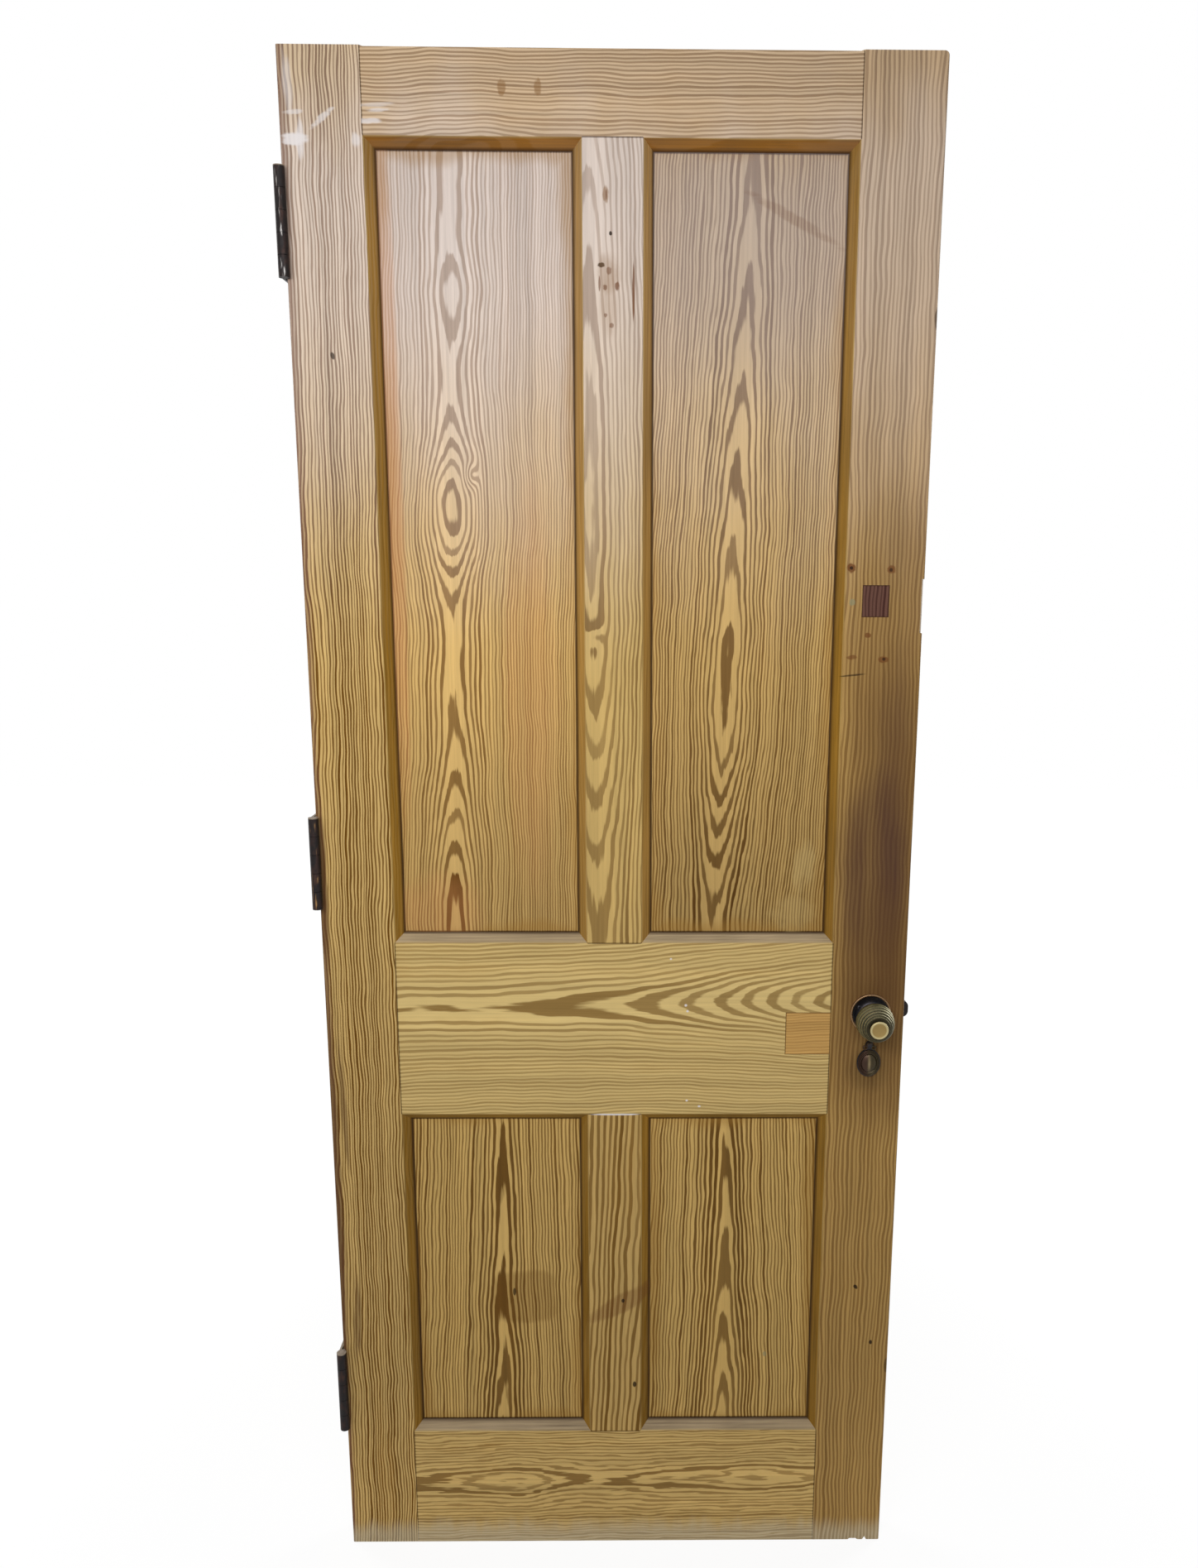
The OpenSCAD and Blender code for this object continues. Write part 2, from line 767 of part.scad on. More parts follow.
// Latch bolt: a round-cornered nose with one bevelled side, and a frame round the follower
module nose_outline() {
    nose_r = 8;
    root = spindle_x + nose_back;
    tip = edge + latch_out;
    translate([root, latch_z - latch_h / 2]) square([tip - nose_r - root, latch_h]);
    translate([root, latch_z - latch_h / 2 + nose_r]) square([tip - root, latch_h - 2 * nose_r]);
    for (s = [-1, 1])
        translate([tip - nose_r, latch_z + s * (latch_h / 2 - nose_r)]) circle(nose_r);
}
module latch_bolt() {
    color(bronze) {
        difference() {
            slab(-nose_t / 2, nose_t / 2) nose_outline();
            translate([edge + latch_out - nose_bevel, nose_t / 2, latch_z - latch_h]) rotate([0, 0, 45])
                translate([0, -2 * nose_t, 0]) cube([4 * nose_t, 4 * nose_t, 2 * latch_h]);
        }
        slab(-frame_t / 2, frame_t / 2)
            translate([spindle_x, spindle_z])
                difference() {
                    translate([-cross_face - cross_t, -arm_high])
                        square([cross_face + cross_t + nose_back + cross_t, 2 * arm_high]);
                    translate([-cross_face, -arm_low]) square([cross_face + nose_back, 2 * arm_low]);
                }
    }
}

// Hairpin spring between the back of the case and the latch's crosspiece
module latch_spring() {
    bend_r = (spring_room - 2 * fit) / 2;
    spring_x = spindle_x - cross_face - cross_t - fit - bend_r;
    bend_z = spindle_z - cam_half / 2;
    color(steel)
    translate([spring_x, 0, bend_z]) {
        slab(-frame_t / 2, frame_t / 2)
            for (x = [-bend_r, bend_r - spring_strip])
                translate([x, 0]) square([spring_strip, cam_half]);
        translate([0, frame_t / 2, 0]) rotate([90, 0, 0]) rotate([0, 0, 180])
            linear_extrude(frame_t)
                difference() {
                    circle(bend_r);
                    circle(bend_r - spring_strip);
                    translate([-2 * bend_r, -2 * bend_r]) square([4 * bend_r, 2 * bend_r]);
                }
    }
}

module spindle_square(side, y0, y1) {
    translate([spindle_x - side / 2, y0, spindle_z - side / 2]) cube([side, y1 - y0, side]);
}

// Follower: a hub that turns in the case and cap, with a flat cam against the latch's crosspiece
module follower() {
    color(brass)
    difference() {
        union() {
            slab(-case_t / 2, case_t / 2) translate([spindle_x, spindle_z]) circle(hub_r);
            slab(-frame_t / 2, frame_t / 2)
                translate([spindle_x - cam_reach, spindle_z - cam_half]) square([cam_t, 2 * cam_half]);
        }
        spindle_square(spindle_side + 2 * fit, -case_t, case_t);
    }
}

// Dead bolt with a slot for its guide stud and a talon for the key
module dead_bolt() {
    talon_w = 10;
    talon_d = 5;
    color(steel)
    slab(-bolt_t / 2, bolt_t / 2)
        difference() {
            translate([bolt_tail, bolt_low]) square([edge - bolt_tail, bolt_h]);
            translate([spindle_x - talon_w / 2, bolt_low - past]) square([talon_w, talon_d + past]);
            for (x = [guide_x - bolt_throw, guide_x])
                translate([x, bolt_z]) circle(guide_r + slip);
            translate([guide_x - bolt_throw, bolt_z - guide_r - slip])
                square([bolt_throw, 2 * (guide_r + slip)]);
        }
}
module spindle() {
    color(steel) spindle_square(spindle_side, -spindle_half, spindle_half);
}

// Rose: a dished plate with a round rim, and a collar round the knob's neck
module rose() {
    color(bronze)
    difference() {
        rotate_extrude() {
            square([rose_r - rose_rim / 2, rose_base]);
            translate([rose_r - rose_rim, 0]) square([rose_rim, rose_t - rose_rim / 2]);
            translate([rose_r - rose_rim / 2, rose_t - rose_rim / 2]) circle(rose_rim / 2);
            polygon([[0, 0], [collar_r + collar_foot, 0], [collar_r + collar_foot, rose_base],
                [collar_r, collar_h - collar_bevel], [collar_r - collar_bevel, collar_h], [0, collar_h]]);
        }
        translate([0, 0, -past]) cylinder(r = neck_r + slip, h = collar_h + 2 * past);
        rose_screw_places()
            translate([0, 0, -past]) cylinder(r = rose_screw_r + fit, h = rose_t + 2 * past);
    }
}
module front_rose() {
    on_front(spindle_x, spindle_z) rose();
}
module back_rose() {
    on_back(spindle_x, spindle_z) rose();
}
module rose_screw() {
    head_r = 2.6;
    head_sink = 1.6;
    translate([0, 0, rose_base - rose_screw_len]) cylinder(r = rose_screw_r, h = rose_screw_len);
    translate([0, 0, rose_base])
        intersection() {
            cylinder(r = head_r, h = head_r);
            translate([0, 0, -head_sink]) sphere(r = norm([head_r, head_sink]));
        }
}
module rose_screws() {
    color(bronze) {
        on_front(spindle_x, spindle_z) rose_screw_places() rose_screw();
        on_back(spindle_x, spindle_z) rose_screw_places() rose_screw();
    }
}

// Beehive knob: neck, bell, rounded shoulder, beads stepping inwards, and a flat button
neck_h = 9;
bell_h = 8;
band_h = 4;
bell_low = collar_h + neck_h;
bell_high = bell_low + bell_h;
shoulder_low = bell_high + band_h;
shoulder_in = 4;
button_h = 5;
button_edge_r = 1.4;
button_dish = 1;
bead_r = 1.7;
bead_pitch = 1.5;
bead_low = knob_out - button_h - bead_count * bead_pitch * bead_r;
bead_base_r = knob_r - shoulder_in;
bead_set = 1;
function bell_point(a) = [neck_r + (knob_r - neck_r) * (1 - cos(a)), bell_low + bell_h * sin(a)];
function shoulder_point(a) = [bead_base_r + (knob_r - bead_base_r) * cos(a),
    shoulder_low + (bead_low - shoulder_low) * sin(a)];
module knob() {
    bead_step = bead_pitch * bead_r;
    button_low = knob_out - button_h;
    color(brass)
    difference() {
        rotate_extrude() {
            polygon(concat([[0, past], [neck_r, past]],
                [for (a = [0 : 15 : 90]) bell_point(a)],
                [for (a = [0 : 15 : 90]) shoulder_point(a)],
                [[button_r - bead_set, button_low], [button_r - bead_set, knob_out - button_dish],
                [0, knob_out - button_dish]]));
            for (i = [0 : bead_count - 1])
                translate([bead_base_r - bead_set - (bead_base_r - button_r) * i / bead_count,
                    bead_low + bead_step * (i + 0.5)])
                    circle(bead_r);
            translate([0, button_low + bead_set]) square([button_r, button_h - bead_set - button_edge_r]);
            translate([button_r - button_edge_r, knob_out - button_edge_r]) circle(button_edge_r);
        }
        translate([-spindle_side / 2 - fit, -spindle_side / 2 - fit, 0])
            cube([spindle_side + 2 * fit, spindle_side + 2 * fit, spindle_half - door_t / 2 + fit]);
        translate([0, 0, grub_up]) rotate([-90, 0, 0]) cylinder(r = grub_r + fit, h = knob_r);
    }
}
module front_knob() {
    on_front(spindle_x, spindle_z) knob();
}
module back_knob() {
    on_back(spindle_x, spindle_z) knob();
}
module knob_grub_screws() {
    color(steel)
    for (side = [0, 1])
        mirror([0, side, 0]) on_front(spindle_x, spindle_z)
            translate([0, spindle_side / 2 + fit, grub_up]) rotate([-90, 0, 0])
                cylinder(r = grub_r, h = neck_r - spindle_side / 2 - fit);
}

// Oval outline of the keyhole furniture
module oval(w, h) {
    polygon([for (a = [0 : 6 : 354]) [w / 2 * cos(a), h / 2 * sin(a)]]);
}
// Neck and round eye above an oval, drawn about the oval's middle
module eye_shape() {
    translate([0, pivot_up]) circle(pivot_r);
    translate([-eye_neck, cover_h / 2 - neck_in])
        square([2 * eye_neck, pivot_up - cover_h / 2 + neck_in]);
}
// Escutcheon plate: the front one carries the cover's pin in an eye, the back one is a plain oval
module escutcheon(with_eye) {
    linear_extrude(plate_t)
        difference() {
            translate([0, cover_z]) {
                oval(cover_w + 2 * plate_rim, cover_h + 2 * plate_rim);
                if (with_eye) eye_shape();
            }
            translate([0, key_z]) keyhole_shape();
            nail_places() circle(nail_r + fit);
            if (with_eye) translate([0, pivot_z]) circle(cover_pin_r + fit);
        }
}
module front_escutcheon() {
    color(bronze) on_front(spindle_x, 0) escutcheon(true);
}
module back_escutcheon() {
    color(bronze) on_back(spindle_x, 0) escutcheon(false);
}
module escutcheon_pins() {
    color(bronze)
    for (side = [0, 1])
        mirror([0, side, 0]) on_front(spindle_x, 0) nail_places()
            translate([0, 0, plate_t - nail_len]) cylinder(r = nail_r, h = nail_len);
}

// Keyhole cover: a domed oval drop with reeds, hung from a small scrolled eye
module keyhole_cover() {
    reed_r = 0.9;
    reed_step = 3;
    reed_in = 2.5;
    reeds = 3;
    scroll_r = 2.3;
    scroll_w = 1.8;
    scroll_x = 5.2;
    scroll_z = pivot_up - eye_neck;
    color(bronze)
    on_front(spindle_x, cover_z) translate([0, 0, plate_t + slip])
        difference() {
            union() {
                intersection() {
                    linear_extrude(cover_t) oval(cover_w, cover_h);
                    translate([0, 0, cover_t - cover_dome_r]) sphere(r = cover_dome_r, $fn = 128);
                }
                linear_extrude(eye_t) eye_shape();
                for (s = [-1, 1])
                    translate([s * scroll_x, scroll_z, 0])
                        ring(scroll_r + scroll_w / 2, scroll_r - scroll_w / 2, eye_t + 2 * slip);
            }
            translate([0, pivot_up, -past]) cylinder(r = cover_pin_r + fit, h = cover_t + 2 * past);
            for (s = [-1, 1], i = [0 : reeds - 1])
                let (x = s * (cover_w / 2 - reed_in - i * reed_step),
                    dome_z = sqrt(pow(cover_dome_r, 2) - x * x) + cover_t - cover_dome_r)
                    translate([x, -cover_h / 2 - past, dome_z + slip])
                        rotate([-90, 0, 0]) cylinder(r = reed_r, h = cover_h + 2 * past, $fn = 4);
        }
}
module cover_pin() {
    head_t = 1.2;
    under_head = plate_t + 2 * slip + eye_t;
    color(bronze)
    on_front(spindle_x, pivot_z) {
        translate([0, 0, -cover_pin_in]) cylinder(r = cover_pin_r, h = cover_pin_in + under_head);
        translate([0, 0, under_head]) cylinder(r = 2 * cover_pin_r, h = head_t);
    }
}

hinge_stile();
lock_stile();
top_rail();
lock_rail();
bottom_rail();
upper_muntin();
lower_muntin();
upper_left_panel();
upper_right_panel();
lower_left_panel();
lower_right_panel();
tenon_wedges();
rail_patch();
stile_plug();
top_hinge_frame_leaf();
middle_hinge_frame_leaf();
bottom_hinge_frame_leaf();
top_hinge_door_leaf();
middle_hinge_door_leaf();
bottom_hinge_door_leaf();
top_hinge_pin();
middle_hinge_pin();
bottom_hinge_pin();
hinge_screws();
lock_case();
lock_cap();
cap_screws();
lock_forend();
forend_screws();
latch_bolt();
latch_spring();
follower();
dead_bolt();
spindle();
front_rose();
back_rose();
rose_screws();
front_knob();
back_knob();
knob_grub_screws();
front_escutcheon();
back_escutcheon();
escutcheon_pins();
keyhole_cover();
cover_pin();
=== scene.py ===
# %% [markdown]
# # A reclaimed pine door
# The door's real shape comes from its construction drawing. This lesson gives it its looks: the wood and
# its wear, the iron, brass and bronze, and the photograph's camera. All lengths are metres. The front of
# the door faces -Y, its lock edge is at +X, and it stands on Z = 0.

import math
from collections import namedtuple

import bmesh
import bpy
from mathutils import Matrix, Vector


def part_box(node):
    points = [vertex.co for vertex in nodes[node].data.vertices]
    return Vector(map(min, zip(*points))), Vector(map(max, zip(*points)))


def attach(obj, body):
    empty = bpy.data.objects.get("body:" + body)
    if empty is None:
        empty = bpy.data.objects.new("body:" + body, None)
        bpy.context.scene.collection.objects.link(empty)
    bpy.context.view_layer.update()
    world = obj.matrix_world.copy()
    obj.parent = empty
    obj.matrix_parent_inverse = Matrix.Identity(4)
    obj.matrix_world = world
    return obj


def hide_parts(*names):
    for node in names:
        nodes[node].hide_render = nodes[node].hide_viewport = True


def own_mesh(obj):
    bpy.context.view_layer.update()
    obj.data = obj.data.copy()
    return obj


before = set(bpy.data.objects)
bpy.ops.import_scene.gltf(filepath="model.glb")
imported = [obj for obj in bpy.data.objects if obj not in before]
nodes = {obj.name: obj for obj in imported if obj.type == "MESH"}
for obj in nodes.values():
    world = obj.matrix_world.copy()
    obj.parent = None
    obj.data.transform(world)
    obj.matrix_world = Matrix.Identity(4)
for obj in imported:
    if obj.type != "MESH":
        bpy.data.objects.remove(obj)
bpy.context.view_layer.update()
print("pieces in the drawing:", len(nodes))

# %% [markdown]
# ## Writing materials as sums
# A material is a tree of nodes, and most of its nodes are small sums. `Field` stands for one value that
# changes from point to point, and lets us write `a * 2 + b` where Blender would want two nodes and three
# wires.

# %% Sums on fields
def linear(level):
    """One channel of a screen colour, 0 to 255, as the amount of light that the sRGB curve gives it."""
    share = level / 255
    return share / 12.92 if share <= 0.04045 else ((share + 0.055) / 1.055) ** 2.4


def tone(red, green, blue):
    """A colour as it looks on the screen, with its channels from 0 to 255."""
    return (linear(red), linear(green), linear(blue), 1.0)


class Field:
    """One output socket of a material, with arithmetic."""

    def __init__(self, socket):
        self.socket = socket

    def node(self, kind, settings, inputs):
        """Adds any node to the same material. Inputs are named or numbered, and are fields or constants."""
        tree = self.socket.id_data
        made = tree.nodes.new(kind)
        for name, value in settings.items():
            setattr(made, name, value)
        for name, value in inputs.items():
            if isinstance(value, Field):
                tree.links.new(value.socket, made.inputs[name])
            else:
                made.inputs[name].default_value = value
        return made

    def calc(self, operation, *inputs):
        """One Math node, on fields and numbers."""
        made = self.node("ShaderNodeMath", {"operation": operation}, dict(enumerate(inputs)))
        return Field(made.outputs[0])

    def size(self):
        """This field without its sign."""
        return self.calc("ABSOLUTE", self)

    def root(self):
        return self.calc("SQRT", self)

    def __add__(self, other):
        return self.calc("ADD", self, other)

    __radd__ = __add__

    def __sub__(self, other):
        return self.calc("SUBTRACT", self, other)

    def __rsub__(self, other):
        return self.calc("SUBTRACT", other, self)

    def __mul__(self, other):
        return self.calc("MULTIPLY", self, other)

    __rmul__ = __mul__

    def __truediv__(self, other):
        return self.calc("DIVIDE", self, other)

    def __rtruediv__(self, other):
        return self.calc("DIVIDE", other, self)

    def rise(self, low, high):
        """0 below `low`, 1 above `high`, and a smooth slope between them."""
        settings = {"interpolation_type": "SMOOTHSTEP"}
        return Field(self.node("ShaderNodeMapRange", settings, {0: self, 1: low, 2: high}).outputs[0])

    def fall(self, low, high):
        return 1 - self.rise(low, high)

    def bump(self):
        """A bell curve: 1 where this field is 0, and near 0 beyond 2 and -2."""
        return self.calc("EXPONENT", self * self * -1)

    def between(self, low, high):
        """The colour `low` where this field is 0, `high` where it is 1, and a mix of them between."""
        made = self.node("ShaderNodeMix", {"data_type": "RGBA"}, {0: self, 6: low, 7: high})
        return Field(made.outputs[2])

    def shaded(self, amount):
        """This colour made darker, where `amount` is under 1, or lighter."""
        grey = self.node("ShaderNodeCombineColor", {}, {0: amount, 1: amount, 2: amount})
        settings = {"data_type": "RGBA", "blend_type": "MULTIPLY"}
        made = self.node("ShaderNodeMix", settings, {0: 1.0, 6: self, 7: Field(grey.outputs[0])})
        return Field(made.outputs[2])


print("sums on fields are ready")

# %% [markdown]
# ## Where a point is
# Every material starts from the point's own place in metres, so grain and marks stay on the same spot of
# the same board when the door swings.

# %% Places and noise
Place = namedtuple("Place", "point x y z")


def new_material(name):
    """An empty material, and the fields that say where each of its points is."""
    material = bpy.data.materials.new(name)
    material.use_nodes = True
    coordinates = material.node_tree.nodes.new("ShaderNodeTexCoord")
    point = Field(coordinates.outputs["Object"])
    split = point.node("ShaderNodeSeparateXYZ", {}, {0: point})
    return material, Place(point, *[Field(axis) for axis in split.outputs])


def noise(place, per_x, per_y, per_z, detail=2.0, seed=0.0):
    """Smooth noise from about -1 to 1, with that many bumps per metre along each axis."""
    stretch = {"operation": "MULTIPLY_ADD"}
    vector = place.point.node("ShaderNodeVectorMath", stretch,
                              {0: place.point, 1: (per_x, per_y, per_z), 2: (seed, seed, seed)})
    inputs = {"Vector": Field(vector.outputs[0]), "Scale": 1.0, "Detail": detail}
    return Field(place.point.node("ShaderNodeTexNoise", {}, inputs).outputs[0]) * 2 - 1


def finish_material(material, colour, roughness, height, relief, **constants):
    """Wires colour, roughness and height into the surface. `relief` is how far the height stands out."""
    surface = material.node_tree.nodes["Principled BSDF"]
    made = colour.node("ShaderNodeBump", {}, {"Height": height, "Distance": relief, "Strength": 1.0})
    links = material.node_tree.links
    links.new(colour.socket, surface.inputs["Base Color"])
    links.new(roughness.socket, surface.inputs["Roughness"])
    links.new(made.outputs[0], surface.inputs["Normal"])
    for name, value in constants.items():
        surface.inputs[name.replace("_", " ")].default_value = value
    return material


def give(node, material, slot):
    """Puts one material on a piece of the drawing, or on a new piece."""
    piece = nodes.get(node) or bpy.data.objects[node]
    piece.data.materials.clear()
    piece.data.materials.append(material)


print("places and noise are ready")

# %% [markdown]
# ## How a board shows its tree
# A board is a flat cut through a bundle of cones. A point's ring number is its distance from the heart of
# the tree divided by the width of one ring. Where the heart comes close behind the face and leaves it
# again, the rings close into the ovals and arches that joiners call cathedrals. Each dip says where along
# the board that happens, over what length before and after, and by how much. A knot pushes the rings
# aside.
#
# A board's first values say which way its grain runs, where its heart line is, how far that leans, and
# how deep it lies behind the face. `ring` is the width of a ring near the heart, and `tight` its width
# far beside it. `plain` is how much the rings fade out there. `heave` moves the heart in and out, `waver`
# bends the rings slowly and `ruffle` quickly. `contrast` is how dark the late wood gets, and `climb` how
# many rings the board gains per metre of its length.

# %% Boards
Dip = namedtuple("Dip", "at before after by")
Knot = namedtuple("Knot", "x z wide high by")
Board = namedtuple(
    "Board", "along heart lean depth ring tight plain heave waver ruffle contrast climb dips knots",
    defaults=[0.0, 0.001, 0.3, 0.15, 0.9, 0.0, (), ()])

BOARDS = {
    "hinge_stile": Board("z", -0.420, 0.006, 0.024, 0.0046, 0.0038, heave=0.008, waver=1.8, ruffle=0.28,
                         contrast=0.96, dips=[Dip(1.22, 0.15, 0.18, 0.007), Dip(0.70, 0.20, 0.14, 0.009),
                                              Dip(0.20, 0.12, 0.12, 0.009)]),
    "lock_stile": Board("z", 0.205, 0.006, 0.040, 0.0056, 0.0050, heave=0.002, waver=1.2, contrast=0.58),
    "top_rail": Board("x", 1.832, 0.010, 0.030, 0.0058, 0.0040, waver=0.6, contrast=0.75,
                      dips=[Dip(-0.18, 0.05, 0.06, 0.016)]),
    "lock_rail": Board("x", 0.8205, 0.029, 0.0849, 0.0066, 0.0042, plain=0.7, heave=0.002, contrast=0.78,
                       dips=[Dip(0.42, 0.26, 0.20, 0.066)]),
    "bottom_rail": Board("x", 0.100, 0.020, 0.030, 0.0066, 0.0044, plain=0.3, heave=0.012, waver=1.2,
                         ruffle=0.60, contrast=0.68,
                         dips=[Dip(-0.150, 0.09, 0.05, 0.010), Dip(0.20, 0.12, 0.09, 0.012)]),
    "upper_muntin": Board("z", -0.0272, -0.0105, 0.0691, 0.0062, 0.0042, heave=0.003, waver=0.6, ruffle=0.22,
                          contrast=0.66, dips=[Dip(1.45, 0.40, 0.60, 0.048)],
                          knots=[Knot(-0.024, 1.300, 0.012, 0.010, 0.8)]),
    "lower_muntin": Board("z", -0.060, 0.050, 0.022, 0.0092, 0.0080, heave=0.005, waver=1.6, contrast=0.85),
    "upper_left_panel": Board("z", -0.2005, 0.018, 0.0443, 0.0062, 0.0032, plain=0.5, waver=0.20,
                              ruffle=0.22, contrast=0.89,
                              dips=[Dip(1.698, 0.050, 0.045, 0.0064), Dip(1.4565, 0.080, 0.075, 0.0248),
                                    Dip(0.910, 0.200, 0.190, 0.0330)],
                              knots=[Knot(-0.174, 1.493, 0.008, 0.013, 2.2)]),
    "upper_right_panel": Board("z", 0.1436, 0.036, 0.0418, 0.0048, 0.0034, plain=0.38, waver=0.35,
                               ruffle=0.26, contrast=0.94,
                               dips=[Dip(1.2168, 0.19, 0.44, 0.0272), Dip(1.2895, 0.035, 0.035, 0.0018)]),
    "lower_left_panel": Board("z", -0.1473, 0.012, 0.0024, 0.0046, 0.0044, plain=0.1, waver=1.3,
                              ruffle=0.22, contrast=0.86, climb=6.0),
    "lower_right_panel": Board("z", 0.1402, -0.010, 0.0024, 0.0046, 0.0044, plain=0.1, waver=1.3,
                               ruffle=0.22, contrast=0.86, climb=9.0),
    "rail_patch": Board("x", 0.700, 0.050, 0.030, 0.0040, 0.0036, contrast=0.40),
    "stile_plug": Board("z", 0.250, 0.020, 0.030, 0.0050, 0.0045),
    "tenon_wedges": Board("x", 0.400, 0.010, 0.030, 0.0050, 0.0045, contrast=0.60),
}
print("boards:", len(BOARDS))

# %% [markdown]
# Nothing in a tree is quite straight, so noise moves the heart and bends the rings. Each kind of noise
# has so many bumps per metre across the grain, through the board and along the grain.

# %% Growth rings
BOARD_MIDDLE = {"z": 1.35, "x": 0.0}
HALF_THICK = 0.020
SWAY = 0.007
FLANK = 0.030
HEAVE_RATES = (0.5, 0.5, 6.0)
SWAY_RATES = (12, 0.5, 9)
WAVER_RATES = (18, 6, 1.8)
RUFFLE_RATES = (240, 60, 15)
CURL_RATES = (80, 20, 16)


def grain_noise(place, board, rates, detail=2.0, seed=0.0):
    """Noise that is stretched along the board's grain."""
    across, deep, along = rates
    turned = (across, deep, along) if board.along == "z" else (along, deep, across)
    return noise(place, *turned, detail=detail, seed=seed)


def rings(place, board, seed):
    """The number of the growth ring at each point, with its fraction, and the distance beside the heart."""
    length, breadth = (place.z, place.x) if board.along == "z" else (place.x, place.z)
    heave = grain_noise(place, board, HEAVE_RATES, seed=seed) * board.heave
    depth = place.y + HALF_THICK + board.depth + heave
    for dip in board.dips:
        off = length - dip.at
        share = off.calc("MAXIMUM", off, 0) / dip.after + off.calc("MINIMUM", off, 0) / dip.before
        depth = depth - share.bump() * dip.by
    sway = grain_noise(place, board, SWAY_RATES, seed=seed + 40) * SWAY
    across = breadth - board.heart - (length - BOARD_MIDDLE[board.along]) * board.lean + sway
    radius = (across * across + depth * depth).root()
    beside = (across * across + FLANK ** 2).root() - FLANK
    number = radius / board.ring + beside * (1 / board.tight - 1 / board.ring)
    number = number + (length - BOARD_MIDDLE[board.along]) * board.climb
    number = number + grain_noise(place, board, WAVER_RATES, seed=seed) * board.waver
    number = number + grain_noise(place, board, RUFFLE_RATES, detail=3.0, seed=seed) * board.ruffle
    number = number + grain_noise(place, board, CURL_RATES, seed=seed + 80) * board.ruffle
    for knot in board.knots:
        sideways = ((place.x - knot.x) / knot.wide).bump()
        number = number + sideways * ((place.z - knot.z) / knot.high).bump() * knot.by
    return number, across.size()


print("growth rings are ready")

# %% [markdown]
# ## Wear, stains and old holes
# Each mark is an oval on the front face: its middle, its half width and half height, a tilt in degrees, a
# tone, and how strongly it covers the wood. `ragged` makes its outline wander, `soft` spreads its edge,
# and a `square` one is a box with round corners.

# %% Marks on the front
Mark = namedtuple("Mark", "x z wide high tilt colour cover ragged soft square", defaults=[0.45, False])

PAINT = tone(236, 230, 228)
HOLE = tone(38, 24, 14)
STAIN = tone(74, 48, 44)
BROWN = tone(98, 68, 40)
SCAR = tone(112, 68, 34)
FILLER = tone(140, 140, 108)
BLEACHED = tone(214, 202, 172)
TAN = tone(142, 104, 62)
RUBBED = tone(196, 170, 112)
SHEEN_GREY = tone(150, 138, 136)
SPOT = tone(112, 74, 24)
SALMON = tone(204, 140, 88)

